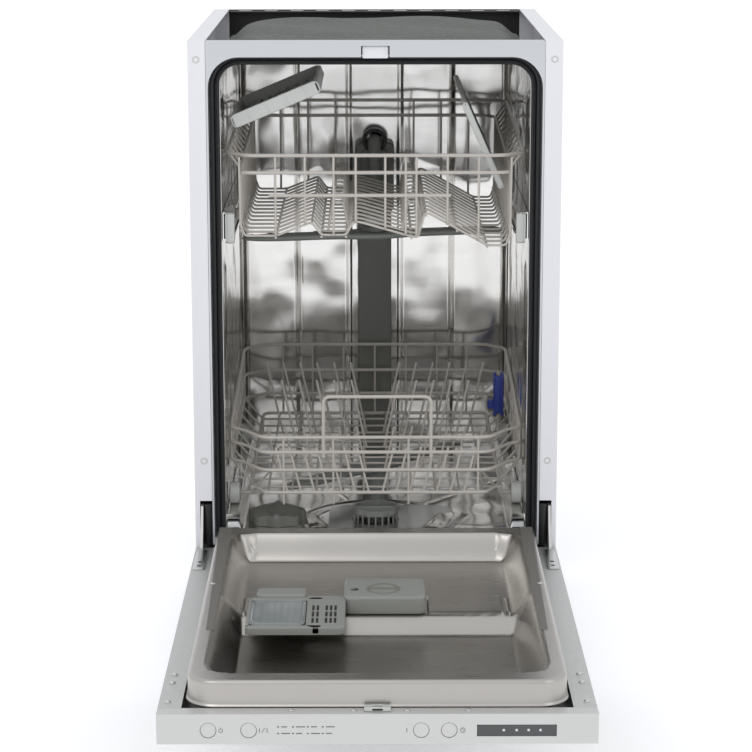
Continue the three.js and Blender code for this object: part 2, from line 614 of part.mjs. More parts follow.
// Feed pipe from the socket on the duct, down behind the basket and under its floor to the spray arm.
function upperFeedPipe() {
  const drop = rod([0, FEED_Y, FEED_Z - 4], [0, FEED_Y, SOCKET_Z], 19, 12, 4);
  const spout = rod([0, FEED_Y, SOCKET_Z], [0, FEED_Y + 10, SOCKET_Z], 19, 12);
  const run = rod([0, ARM_Y, FEED_Z], [0, FEED_Y, FEED_Z], 18, 12, 6);
  return join(drop, spout, run, disc(0, ARM_Y, FEED_Z - 9, FEED_Z + 2, 15, 16));
}

// A cup shelf: a thin tray with ribs and two lips that rise to `lip`, hinged on the side of the upper basket.
function cupShelf(pivotX, pivotZ, angle, y0, y1, lip) {
  const front = block(0, SHELF_LENGTH, y0, y0 + 4, -10, lip);
  const rear = block(0, SHELF_LENGTH, y1 - 4, y1, -10, lip);
  const floor = block(0, SHELF_LENGTH, y0, y1, -9, -7);
  const ribs = [0.02, 0.34, 0.66, 0.97].map((step) => {
    const x = step * SHELF_LENGTH;
    return block(x, x + 3.2, y0, y1, -8, -5);
  });
  const shelf = join(front, rear, floor, ...ribs);
  return shelf.translate([4, 0, 0]).rotate([0, -angle, 0]).translate([pivotX, 0, pivotZ]);
}

// Lower basket: three rails that jog back at the front corners, the floor grid, posts, the front handle,
// the fixed tine rows and the roller axles.
function lowerBasket() {
  const y0 = BASKET_FRONT_Y;
  const yJog = FRONT + 74;
  const y1 = LOWER_REAR_Y;
  const rail = (front, rear) => wire([[-141, y0, front], [141, y0, front], [168, yJog, front],
    [183, yJog + 9, front], [183, y1 - 30, rear], [153, y1, rear], [-153, y1, rear], [-183, y1 - 30, rear],
    [-183, yJog + 9, front], [-168, yJog, front]], WIRE, 5, true);
  const floorEdge = wire([[-138, y0, LOWER_FLOOR_Z], [138, y0, LOWER_FLOOR_Z], [158, yJog, LOWER_FLOOR_Z],
    [158, y1, LOWER_FLOOR_Z], [-158, y1, LOWER_FLOOR_Z], [-158, yJog, LOWER_FLOOR_Z]], WIRE, 5, true);
  const along = [-105, -53, 0, 53, 105].map((x) => wire([[x, y0, LOWER_FLOOR_Z],
    [x, y1, LOWER_FLOOR_Z]], THIN));
  const across = [205, 290].map((depth) => wire([[-158, FRONT + depth, LOWER_FLOOR_Z],
    [158, FRONT + depth, LOWER_FLOOR_Z]], THIN));
  const frontPosts = [-115, -40, 41, 128].map((x) => wire([[x, y0, 241], [x, y0, 327]], THIN));
  const rearPosts = [-130, -26, 26, 130].map((x) => wire([[x, y1, LOWER_FLOOR_Z], [x, y1, 355]], THIN));
  const sidePosts = [-1, 1].flatMap((side) => [0, 0.33, 0.66, 1].map((step) => {
    const y = yJog + 12 + (y1 - 48 - yJog) * step;
    const [base, top] = [LOWER_FLOOR_Z, 327 + 28 * step];
    return wire([[side * 158, y, base], [side * 183, y, 284], [side * 183, y, top]], THIN);
  }));
  const axles = [-1, 1].flatMap((side) => ROLLER_YS.map(([, y]) => wire([[side * 158, y, LOWER_FLOOR_Z + 1],
    [side * 158, y, ROLLER_Z], [side * 187, y, ROLLER_Z]], 5.4, 6)));
  const handle = wire([[-65, y0, 307], [-65, y0, 378], [69, y0, 378], [69, y0, 307]], WIRE, 5);
  const rows = [[136, 46, 58], [340, 46, 98]];
  const tines = rows.flatMap(([depth, pitch, height]) => tineRow(FRONT + depth, LOWER_FLOOR_Z, pitch,
    height, 157));
  return join(rail(326, 355), rail(307, 318), rail(284, 284), floorEdge, ...along, ...across, ...frontPosts,
    ...rearPosts, ...sidePosts, ...axles, handle, ...tines);
}

// A row of tines that lean outwards from the middle, on one cross wire.
function tineRow(y, z, pitch, height, half) {
  const tines = [wire([[-half, y, z], [half, y, z]], THIN)];
  for (let x = pitch / 2; x < half - 20; x += pitch) {
    [-1, 1].forEach((side) => {
      tines.push(wire([[side * x, y, z], [side * (x + height * 0.22), y, z + height]], THIN));
    });
  }
  return tines;
}

// Tine row that folds down about its cross wire.
function foldingTines() {
  return join(...tineRow(FRONT + 225, 264, 46, 92, 128));
}

// Clip on the side of the lower basket.
function rackClip() {
  const y = FRONT + 296;
  const body = prism('y', rounded(160, 174, 290, 350, 5), y - 8, y + 8);
  return join(body, block(152, 162, y - 6, y + 6, 300, 312));
}

// Roller with its bore, on the left for side -1 and on the right for side 1.
function roller(side, y) {
  const profile = [[3.3, 0], [ROLLER_RADIUS, 0], [ROLLER_RADIUS, 11], [ROLLER_RADIUS - 2, 14], [3.3, 14],
    [3.3, 0]];
  const wheel = turned(profile, 20, 'x', 0, y, ROLLER_Z);
  return side > 0 ? mirrored(wheel).translate([186.3, 0, 0]) : wheel.translate([-186.3, 0, 0]);
}

// Cabinet
piece('side_panel_left', 'white_paint', sidePanel());
piece('side_panel_right', 'white_paint', mirrored(sidePanel()));
piece('front_frame', 'steel', frontFrame());
piece('rear_panel', 'black_steel', rearPanel());
piece('base_tray', 'dark_plastic', baseTray());
piece('door_gasket', 'rubber', doorGasket());
const tubLeft = block(-TUB_HALF - SHEET, -TUB_HALF, TUB_FRONT, TUB_BACK, TUB_FLOOR - SHEET, TUB_TOP);
piece('tub_left_wall', 'steel', tubLeft);
piece('tub_right_wall', 'steel', mirrored(tubLeft));
piece('tub_top_wall', 'steel', block(-TUB_HALF - SHEET, TUB_HALF + SHEET, TUB_FRONT, TUB_BACK, TUB_TOP + GAP,
  TUB_TOP + GAP + SHEET));
piece('tub_back_wall', 'steel', block(-TUB_HALF - SHEET, TUB_HALF + SHEET, TUB_BACK + GAP,
  TUB_BACK + GAP + SHEET, TUB_FLOOR - SHEET, TUB_TOP));
piece('tub_floor', 'steel', tubFloor());
piece('felt_blanket', 'felt', feltBlanket());
piece('hinge_bracket_left', 'black_steel', hingeBracket());
piece('hinge_bracket_right', 'black_steel', mirrored(hingeBracket()));
piece('door_spring_left', 'steel', doorSpring());
piece('door_spring_right', 'steel', mirrored(doorSpring()));
piece('upper_rail_left', 'steel', upperRail());
piece('upper_rail_right', 'steel', mirrored(upperRail()));
piece('water_duct', 'grey_plastic', waterDuct());
piece('sump', 'dark_plastic', sump());
piece('fine_filter', 'steel', fineFilter());
piece('circulation_pump', 'dark_plastic', circulationPump());
piece('drain_pump', 'dark_plastic', drainPump());
piece('water_softener', 'light_plastic', waterSoftener());
piece('inlet_valve', 'light_plastic', inletValve());
footPlaces().forEach(([name, x, y]) => piece(name, 'dark_plastic', foot(x, y)));
piece('filter_cup', 'grey_plastic', filterCup());
piece('salt_cap', 'grey_plastic', saltCap());
piece('lower_spray_arm', 'grey_plastic', sprayArm(168, LOWER_ARM_Z, LOWER_ARM_Z + 11,
  [TUB_FLOOR + GAP, LOWER_ARM_Z + 14], 45));

// Door
piece('door_outer_panel', 'steel', doorOuterPanel());
piece('door_inner_liner', 'steel', doorInnerLiner());
piece('control_fascia', 'fascia', controlFascia());
piece('display_window', 'glass', displayWindow());
piece('control_board', 'board', controlBoard());
piece('door_latch', 'light_plastic', doorLatch());
piece('dispenser_body', 'grey_plastic', dispenserBody());
piece('detergent_lid', 'lid', detergentLid());
piece('rinse_cap', 'grey_plastic', rinseCap());
piece('hinge_arm_left', 'steel', hingeArm());
piece('hinge_arm_right', 'steel', mirrored(hingeArm()));
BUTTONS.forEach(([name, x]) => {
  const y0 = FRONT - DOOR_REACH + 0.2;
  piece(name, 'fascia', rod([x, y0, BUTTON_Z], [x, y0 + 9, BUTTON_Z], 2 * BUTTON_RADIUS, 24));
});

// Upper basket
piece('upper_basket', 'wire', upperBasket());
piece('basket_slide_left', 'grey_plastic', basketSlide());
piece('basket_slide_right', 'grey_plastic', mirrored(basketSlide()));
piece('upper_feed_pipe', 'grey_plastic', upperFeedPipe());
piece('upper_spray_arm', 'grey_plastic', sprayArm(178, UPPER_ARM_Z, UPPER_ARM_Z + 10,
  [UPPER_ARM_Z, FEED_Z - 9 - GAP], 12));
SHELVES.forEach(([name, ...where]) => piece(name, 'light_plastic', cupShelf(...where)));

// Lower basket
piece('lower_basket', 'wire', lowerBasket());
piece('folding_tines', 'wire', foldingTines());
piece('rack_clip', 'blue', rackClip());
ROLLER_YS.forEach(([place, y]) => {
  piece(`roller_${place}_left`, 'light_plastic', roller(-1, y));
  piece(`roller_${place}_right`, 'light_plastic', roller(1, y));
});

export default group;
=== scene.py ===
"""Slimline built-in dishwasher with its door open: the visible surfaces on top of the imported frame."""

import bmesh
import bpy
import numpy as np
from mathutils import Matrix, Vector


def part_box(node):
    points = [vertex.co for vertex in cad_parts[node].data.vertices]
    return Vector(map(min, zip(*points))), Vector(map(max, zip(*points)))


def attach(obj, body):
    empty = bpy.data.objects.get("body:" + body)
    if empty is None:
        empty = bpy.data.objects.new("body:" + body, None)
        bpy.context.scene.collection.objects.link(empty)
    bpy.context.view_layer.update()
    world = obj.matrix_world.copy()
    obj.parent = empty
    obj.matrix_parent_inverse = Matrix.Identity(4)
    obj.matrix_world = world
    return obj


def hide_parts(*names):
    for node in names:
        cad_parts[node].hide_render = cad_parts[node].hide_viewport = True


bl_info = {
    "name": "Slimline dishwasher surfaces",
    "version": (1, 0, 0),
    "blender": (4, 5, 0),
    "location": "3D View > Sidebar > Dishwasher",
    "description": "Builds the finished surfaces of a slimline built-in dishwasher",
    "category": "Add Mesh",
}

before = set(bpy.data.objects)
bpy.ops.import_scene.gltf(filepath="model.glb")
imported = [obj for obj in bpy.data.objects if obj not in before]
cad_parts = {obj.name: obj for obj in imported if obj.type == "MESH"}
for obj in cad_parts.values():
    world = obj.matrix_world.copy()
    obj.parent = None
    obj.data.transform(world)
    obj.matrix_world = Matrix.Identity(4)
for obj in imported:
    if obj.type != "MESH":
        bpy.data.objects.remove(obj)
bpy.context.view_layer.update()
MM = 0.001


def node_box(name):
    """Lowest and highest corner of a frame node, in millimetres."""
    low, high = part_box(name)
    return np.array(low) / MM, np.array(high) / MM


# Places, in millimetres, read from the frame.
FRONT = node_box("side_panel_left")[0][1]
TOP = node_box("side_panel_left")[1][2]
TUB_LOW, TUB_HIGH = node_box("tub_floor")
TUB_HALF = node_box("tub_right_wall")[0][0]
TUB_TOP = node_box("tub_top_wall")[0][2]
TUB_BACK = node_box("tub_back_wall")[0][1]
LINER_LOW, LINER_HIGH = node_box("door_inner_liner")
FASCIA_LOW = node_box("control_fascia")[0]
RIM = LINER_HIGH[2]
UPPER_LOW, UPPER_HIGH = node_box("upper_basket")
LOWER_LOW, LOWER_HIGH = node_box("lower_basket")
ARM_Y = FRONT + 240

# Points closer than this, in metres, are made one; edges sharper than this, in degrees, are drawn hard.
SAME_POINT = 2e-6
SHARP_EDGE = 38
# Points in each quarter circle of the liner's outline, and along its short and long sides.
LINER_CORNER = 11
LINER_SIDES = (84, 120)

# Studio, in metres: half the floor's side and its height, and the camera's place.
FLOOR_HALF = 24.0
FLOOR_Z = -0.0005
CAMERA_PLACE = (-0.0076, -2.861, 1.0647)
# The camera's turns about X, Y and Z in degrees, and its sensor and lens in millimetres.
CAMERA_TURN = (90 - 12.70, 0.05, -0.17)
SENSOR_WIDTH = 36.0
LENS = 116.0


# --- Surfaces ---

def quads(rows, columns, wrap_rows=False, wrap_columns=False):
    """Faces of a grid of rows by columns of points; a wrapped direction joins its last line to its first."""
    i = np.arange(rows if wrap_rows else rows - 1)[:, None]
    j = np.arange(columns if wrap_columns else columns - 1)[None, :]
    next_i, next_j = (i + 1) % rows, (j + 1) % columns
    corners = [i * columns + j, i * columns + next_j, next_i * columns + next_j, next_i * columns + j]
    return np.stack([np.broadcast_to(c, (i.size, j.size)) for c in corners], axis=-1).reshape(-1, 4)


def place(name, parts, material, body, replaced=(), wall=0.0, flip=False):
    """Joins (points, faces) parts in millimetres into one closed piece that rides on a body."""
    points, faces, start = [], [], 0
    for part_points, part_faces in parts:
        points.append(np.asarray(part_points, float).reshape(-1, 3))
        faces += [tuple(int(k) + start for k in face) for face in part_faces]
        start += len(points[-1])
    mesh = bpy.data.meshes.new(name)
    mesh.from_pydata(np.concatenate(points) * MM, [], faces)
    shape = bmesh.new()
    shape.from_mesh(mesh)
    bmesh.ops.remove_doubles(shape, verts=shape.verts, dist=SAME_POINT)
    bmesh.ops.recalc_face_normals(shape, faces=shape.faces)
    if flip:
        bmesh.ops.reverse_faces(shape, faces=shape.faces)
    shape.to_mesh(mesh)
    shape.free()
    mesh.shade_smooth()
    mesh.set_sharp_from_angle(angle=np.radians(SHARP_EDGE))
    mesh.materials.append(MATERIALS[material])
    piece = bpy.data.objects.new(name, mesh)
    bpy.context.scene.collection.objects.link(piece)
    if wall:
        sheet = piece.modifiers.new("Wall", "SOLIDIFY")
        sheet.thickness, sheet.offset = wall * MM, -1.0
    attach(piece, body)
    if replaced:
        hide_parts(*replaced)
    return piece


def turn_axes(points, axis):
    """Points made along Z, carried so that Z becomes the named axis.

    A point (a, b, c) goes to (c, a, b) for X and to (a, c, b) for Y."""
    order = {"z": (0, 1, 2), "y": (0, 2, 1), "x": (2, 0, 1)}[axis]
    return np.asarray(points)[..., order]


def rounded_outline(x0, x1, y0, y1, radius, inset=0.0, steps=6):
    """A rectangle with quarter circle corners, moved inwards by inset, anticlockwise from lower right."""
    corner = max(radius - inset, 0.02)
    angle = np.linspace(0, np.pi / 2, steps + 1)
    ring = []
    for k, (x, y) in enumerate([(x1 - inset - corner, y0 + inset + corner),
                                (x1 - inset - corner, y1 - inset - corner),
                                (x0 + inset + corner, y1 - inset - corner),
                                (x0 + inset + corner, y0 + inset + corner)]):
        turn = angle + (k - 1) * np.pi / 2
        ring.append(np.stack([x + corner * np.cos(turn), y + corner * np.sin(turn)], axis=1))
    return np.concatenate(ring)


def slab(x0, x1, y0, y1, z0, z1, radius=4.0, edge=1.0, axis="z", steps=5):
    """A plate with round corners and edges.

    The outline is inset by edge (1 - sin t) at height edge (1 - cos t)."""
    t = np.linspace(0, np.pi / 2, 4)
    insets = np.concatenate([edge * (1 - np.sin(t)), edge * (1 - np.cos(t))])
    heights = np.concatenate([z0 + edge * (1 - np.cos(t)), z1 - edge * (1 - np.sin(t))])
    rings = [np.column_stack([rounded_outline(x0, x1, y0, y1, radius, inset, steps),
                              np.full(4 * (steps + 1), height)]) for inset, height in zip(insets, heights)]
    count = rings[0].shape[0]
    faces = [tuple(f) for f in quads(len(rings), count, wrap_columns=True)]
    faces += [tuple(range(count))[::-1], tuple((len(rings) - 1) * count + k for k in range(count))]
    return turn_axes(np.concatenate(rings), axis), faces


def prism(outline, z0, z1, axis="z"):
    """A flat outline of (a, b) points carried straight from z0 to z1."""
    outline = np.asarray(outline, float)
    count = len(outline)
    points = np.concatenate([np.column_stack([outline, np.full(count, z)]) for z in (z0, z1)])
    faces = [tuple(f) for f in quads(2, count, wrap_columns=True)]
    return turn_axes(points, axis), faces + [tuple(range(count))[::-1], tuple(range(count, 2 * count))]


def lathe(profile, centre, axis="z", sides=40):
    """A profile of (radius, height) points turned about an axis through centre."""
    profile = np.asarray(profile, float)
    angle = np.linspace(0, 2 * np.pi, sides, endpoint=False)[None, :]
    radius, height = profile[:, :1], profile[:, 1:]
    ring = np.stack([radius * np.cos(angle), radius * np.sin(angle), height + 0 * angle], axis=-1)
    points = turn_axes(ring, axis).reshape(-1, 3) + np.asarray(centre)
    return points, quads(len(profile), sides, wrap_columns=True)


def bend(stops, radius, closed=False, steps=4):
    """A line through stops; each corner is a parabolic arc that starts and ends at radius from it."""
    stops = np.asarray(stops, float)
    if len(stops) < 3:
        return stops
    line = [] if closed else [stops[:1]]
    t = np.linspace(0, 1, steps + 1)[:, None]
    for k in range(0 if closed else 1, len(stops) if closed else len(stops) - 1):
        before, corner, after = stops[k - 1], stops[k], stops[(k + 1) % len(stops)]
        reach = [min(radius, 0.45 * np.linalg.norm(end - corner)) for end in (before, after)]
        start = corner + (before - corner) / np.linalg.norm(before - corner) * reach[0]
        finish = corner + (after - corner) / np.linalg.norm(after - corner) * reach[1]
        line.append((1 - t) ** 2 * start + 2 * t * (1 - t) * corner + t ** 2 * finish)
    return np.concatenate(line if closed else line + [stops[-1:]])


def wire(stops, diameter, closed=False, radius=6.0, sides=8, steps=4):
    """A round wire: circles square to a bent line, turned from the world axis it least follows."""
    line = bend(stops, radius, closed, steps)
    ahead = np.roll(line, -1, axis=0) - line
    if not closed:
        ahead[-1] = ahead[-2]
    ahead /= np.linalg.norm(ahead, axis=1, keepdims=True)
    along = ahead + np.roll(ahead, 1, axis=0)
    if not closed:
        along[0] = ahead[0]
    along /= np.linalg.norm(along, axis=1, keepdims=True)
    reference = np.eye(3)[np.argmin(np.abs(along).max(axis=0))]
    side = np.cross(reference, along)
    side /= np.linalg.norm(side, axis=1, keepdims=True)
    upward = np.cross(along, side)
    angle = np.linspace(0, 2 * np.pi, sides, endpoint=False)
    circle = (np.cos(angle)[None, :, None] * side[:, None, :]
              + np.sin(angle)[None, :, None] * upward[:, None, :])
    points = (line[:, None, :] + diameter / 2 * circle).reshape(-1, 3)
    faces = [tuple(f) for f in quads(len(line), sides, wrap_rows=closed, wrap_columns=True)]
    if not closed:
        faces += [tuple(range(sides))[::-1], tuple((len(line) - 1) * sides + k for k in range(sides))]
    return points, faces


def round_grid(first, last, rows, sides):
    """Values from first to last down the rows, and the angles of a full turn across them."""
    angles = np.linspace(0, 2 * np.pi, sides, endpoint=False)
    return np.meshgrid(np.linspace(first, last, rows), angles, indexing="ij")


def both(part):
    """A part and its mirror image across the machine's middle."""
    points, faces = part
    return [part, (points * np.array([-1, 1, 1]), [tuple(face)[::-1] for face in faces])]


def ease(value):
    """0 below 0, 1 above 1, and 3 v^2 - 2 v^3 between them."""
    v = np.clip(value, 0, 1)
    return v * v * (3 - 2 * v)


def pressing(x, y, x0, x1, y0, y1, slope=5.0):
    """1 inside a rectangle and 0 outside it, eased over slope: the product of its four edges' eases."""
    edges = [ease((x - x0) / slope), ease((x1 - x) / slope), ease((y - y0) / slope), ease((y1 - y) / slope)]
    return edges[0] * edges[1] * edges[2] * edges[3]


# --- Materials ---

MATERIALS = {}


def linear(code):
    """An sRGB hex colour as linear RGBA."""
    channels = np.array([int(code[k:k + 2], 16) for k in (1, 3, 5)]) / 255
    low, high = channels / 12.92, ((channels + 0.055) / 1.055) ** 2.4
    return (*np.where(channels <= 0.04045, low, high), 1.0)


def add(tree, kind, inputs=None, **settings):
    """Adds a node with its settings; an input that is a socket is linked, and any other is a value."""
    node = tree.nodes.new(kind)
    for key, value in settings.items():
        setattr(node, key, value)
    for key, value in (inputs or {}).items():
        if isinstance(value, bpy.types.NodeSocket):
            tree.links.new(value, node.inputs[key])
        else:
            node.inputs[key].default_value = value
    return node


def finish_of(name, colour, roughness, metallic=0.0, grain=None, tint=0.0, rough_change=0.0, bump=0.0,
              swell=None, **shader):
    """A finish. grain is its pattern's size in millimetres along X, Y and Z, and tint how far it darkens.
    swell is the size and height in millimetres of slow waves in the sheet."""
    material = bpy.data.materials.new(name)
    material.use_nodes = True
    tree = material.node_tree
    tree.nodes.clear()
    base = linear(colour)
    surface = add(tree, "ShaderNodeBsdfPrincipled",
                  {"Base Color": base, "Roughness": roughness, "Metallic": metallic})
    for key, value in shader.items():
        surface.inputs[key.replace("_", " ").title().replace("Ior", "IOR")].default_value = value
    if grain:
        place_in = add(tree, "ShaderNodeTexCoord")
        stretch = add(tree, "ShaderNodeMapping", {"Vector": place_in.outputs["Object"],
                                                  "Scale": tuple(1 / (size * MM) for size in grain)})
        noise = add(tree, "ShaderNodeTexNoise", {"Vector": stretch.outputs[0], "Scale": 1.0, "Detail": 3.0})
        if tint:
            darker = tuple(channel * (1 - tint) for channel in base[:3]) + (1.0,)
            blend = add(tree, "ShaderNodeMix", {6: base, 7: darker, 0: noise.outputs["Fac"]},
                        data_type="RGBA")
            tree.links.new(blend.outputs[2], surface.inputs["Base Color"])
        if rough_change:
            spread = add(tree, "ShaderNodeMapRange",
                         {"Value": noise.outputs["Fac"], "To Min": roughness - rough_change,
                          "To Max": roughness + rough_change})
            tree.links.new(spread.outputs[0], surface.inputs["Roughness"])
        if bump:
            relief = add(tree, "ShaderNodeBump", {"Height": noise.outputs["Fac"], "Strength": 1.0,
                                                  "Distance": bump * MM})
            tree.links.new(relief.outputs[0], surface.inputs["Normal"])
        if swell:
            slow = add(tree, "ShaderNodeMapping", {"Vector": place_in.outputs["Object"],
                                                   "Scale": (1 / (swell[0] * MM),) * 3})
            waves = add(tree, "ShaderNodeTexNoise",
                        {"Vector": slow.outputs[0], "Scale": 1.0, "Detail": 1.0})
            sheet = add(tree, "ShaderNodeBump", {"Height": waves.outputs["Fac"], "Strength": 1.0,
                                                 "Distance": swell[1] * MM, "Normal": relief.outputs[0]})
            tree.links.new(sheet.outputs[0], surface.inputs["Normal"])
    output = add(tree, "ShaderNodeOutputMaterial")
    tree.links.new(surface.outputs[0], output.inputs[0])
    MATERIALS[name] = material


def make_finishes(sizes):
    """Every finish of the machine."""
    # Cold-rolled stainless tub sheet: bright, with long soft streaks from rolling.
    finish_of("rolled_stainless_tub", "#e2e1de", 0.13, 1.0, grain=(60, 60, 9), rough_change=0.05, bump=0.02,
              swell=(90, 5.0))
    # Pressed stainless door liner: satin, its grain runs across the door.
    finish_of("pressed_stainless_liner", sizes.liner_colour, 0.29, 1.0, grain=(70, 4, 20),
              rough_change=0.05, bump=0.004, swell=(110, 1.2))
    # Brushed stainless front frame: fine lines along its length.
    finish_of("brushed_stainless_frame", "#c8cbcd", 0.36, 1.0, grain=(80, 3, 1.5), rough_change=0.06,
              bump=0.02)
    # Stove enamel on the side panels: smooth white gloss.
    finish_of("white_stove_enamel", sizes.panel_colour, 0.32, 0.0, grain=(300, 300, 300), tint=0.03,
              coat_weight=0.2)
    # Zinc-plated sheet of the door tray: pale, slightly mottled.
    finish_of("zinc_plated_sheet", "#cbccca", 0.42, 0.7, grain=(9, 9, 9), tint=0.08, rough_change=0.06)
    # Silver painted fascia: satin, with metal flake too fine to see.
    finish_of("silver_painted_fascia", sizes.fascia_colour, 0.36, 0.35, grain=(0.9, 0.9, 0.9), tint=0.03)
    # Extruded seal rubber: matt and almost black.
    finish_of("extruded_black_rubber", "#1f2022", 0.62, 0.0, grain=(3, 3, 3), bump=0.03)
    # Needled felt: dull grey green, with coarse fibre clumps drawn larger than real.
    finish_of("needled_grey_felt", "#5a5f57", 0.97, 0.0, grain=(7, 7, 7), tint=0.75, bump=4.0,
              sheen_weight=0.15)
    # Moulded polypropylene, three greys and black: fine spark-eroded texture.
    finish_of("moulded_grey_pp", sizes.plastic_colour, 0.46, 0.0, grain=(0.8, 0.8, 0.8), bump=0.02)
    finish_of("moulded_olive_pp", "#74756f", 0.5, 0.0, grain=(0.8, 0.8, 0.8), bump=0.02)
    finish_of("moulded_light_pp", "#bfc1bd", 0.44, 0.0, grain=(0.8, 0.8, 0.8), bump=0.02)
    finish_of("moulded_black_pp", "#1c1c1c", 0.5, 0.0, grain=(0.8, 0.8, 0.8), bump=0.02)
    # Nylon dipped on steel wire: soft warm grey gloss.
    finish_of("nylon_coated_wire", sizes.wire_colour, 0.36, 0.0, grain=(2, 2, 2), tint=0.05)
    # Smoked acrylic: dark, polished.
    finish_of("smoked_acrylic", "#3b3c3e", 0.14, 0.0, coat_weight=0.5)
    # Dispenser housing: paler grey polypropylene with the same fine texture.
    finish_of("moulded_pale_grey_pp", "#8a8c87", 0.42, 0.0, grain=(0.8, 0.8, 0.8), bump=0.02)
    # Extruded grey rubber of the liner's side strips.
    finish_of("extruded_grey_rubber", "#66645f", 0.55, 0.0, grain=(3, 3, 3), bump=0.03)
    # Tinted polystyrene lid: bluish, a little clear.
    finish_of("tinted_polystyrene_lid", "#949a9a", 0.2, 0.0, transmission_weight=0.25, coat_weight=0.3)
    # Blue moulded nylon.
    finish_of("blue_moulded_nylon", "#2a3a8c", 0.35, 0.0)
    # Black cataphoretic steel of the hinges and the back.
    finish_of("black_dipped_steel", "#1f1f1f", 0.45, 0.2)
    # Bright zinc of screws, springs, hinge feet and the fine filter.
    finish_of("bright_zinc", "#c9cac8", 0.26, 1.0)
    # Printed marks on the fascia: dark grey ink.
    finish_of("printed_grey_ink", "#4c4d50", 0.5, 0.0)
    # White marks on the smoked window.
    finish_of("printed_pale_ink", "#c9cdd0", 0.5, 0.0)
    # Green laminate of the control board.
    finish_of("green_laminate", "#1f4d2e", 0.4, 0.0)
    # Plain pale studio floor.
    finish_of("pale_studio_floor", "#f4f4f5", 0.8, 0.0, emission_strength=0.22)


FRAME_FINISHES = {"white_stove_enamel": ["side_panel_left", "side_panel_right"],
                  "brushed_stainless_frame": ["front_frame"], "black_dipped_steel": ["rear_panel"],
                  "moulded_black_pp": ["base_tray", "sump", "circulation_pump", "drain_pump",
                                       "foot_front_left", "foot_front_right", "foot_rear"],
                  "moulded_light_pp": ["water_softener", "inlet_valve", "basket_slide_left",
                                       "basket_slide_right"],
                  "rolled_stainless_tub": ["upper_rail_left", "upper_rail_right"],
                  "zinc_plated_sheet": ["door_outer_panel", "hinge_arm_left", "hinge_arm_right"],
                  "silver_painted_fascia": ["control_fascia"], "green_laminate": ["control_board"],
                  "bright_zinc": ["fine_filter"], }


def paint_frame():
    """Gives the frame's own nodes their finishes."""
    for finish, names in FRAME_FINISHES.items():
        for name in names:
            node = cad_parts[name]
            node.data.materials.clear()
            node.data.materials.append(MATERIALS[finish])


# --- Cabinet and tub ---

def filter_centre():
    """Middle of the filter cup across and along the machine."""
    low, high = node_box("filter_cup")
    return (low[0] + high[0]) / 2, (low[1] + high[1]) / 2


def build_tub_shell():
    """The tub's sides and top: a rounded arch carried to the back, with its embossed fields."""
    outline = rounded_outline(-TUB_HALF, TUB_HALF, 120, TUB_TOP, 28, steps=10)
    arch = outline[(outline[:, 1] > 150)]
    upward = np.linspace(TUB_LOW[2] + 5, TUB_TOP - 35, 60)
    right = np.column_stack([np.full(60, TUB_HALF), upward])
    left = np.column_stack([np.full(60, -TUB_HALF), upward[::-1]])
    arch = np.concatenate([[[TUB_HALF, TUB_LOW[2]]], right, arch[1:-1], left, [[-TUB_HALF, TUB_LOW[2]]]])
    bend_radius = 14
    depth = np.linspace(TUB_LOW[1], TUB_BACK - bend_radius, 120)[:, None]
    x, z = arch[None, :, 0], arch[None, :, 1]
    emboss = 2.2 * pressing(depth, z, FRONT + 75, FRONT + 440, 640, 745, 9)
    emboss = emboss + 2.2 * pressing(depth, z, FRONT + 75, FRONT + 440, 270, 545, 9)
    wall = np.stack([x - np.sign(x) * emboss, depth + 0 * x, z + 0 * depth], axis=-1)
    turn = np.linspace(0, np.pi / 2, 7)[1:, None]
    inset = bend_radius * (1 - np.cos(turn))
    narrow = (TUB_HALF - inset) / TUB_HALF
    corner = np.stack([x * narrow, TUB_BACK - bend_radius + bend_radius * np.sin(turn) + 0 * x,
                       TUB_LOW[2] + (z - TUB_LOW[2]) * (1 - inset / (TUB_TOP - TUB_LOW[2]))], axis=-1)
    shell = np.concatenate([wall, corner])
    place("tub_shell", [(shell.reshape(-1, 3), quads(*shell.shape[:2]))], "rolled_stainless_tub", "cabinet",
          ("tub_left_wall", "tub_right_wall", "tub_top_wall"), wall=1.0, flip=True)


def build_tub_back():
    """The back wall with its raised arch."""
    x, z = np.meshgrid(np.linspace(-TUB_HALF + 8, TUB_HALF - 8, 190),
                       np.linspace(TUB_LOW[2], TUB_TOP - 7, 230))
    corner = 16
    across = np.abs(np.abs(x) - 72) - (36 - corner)
    above = z - (768 - corner)
    outside = np.hypot(np.clip(across, 0, None), np.clip(above, 0, None))
    panel = outside + np.minimum(np.maximum(across, above), 0)
    relief = 1.9 * np.exp(-((panel - corner) / 2.4) ** 2)
    y = TUB_BACK - 0.6 - relief
    place("tub_back", [(np.stack([x, y, z], axis=-1), quads(*x.shape))], "rolled_stainless_tub", "cabinet",
          ("tub_back_wall",), wall=1.0)


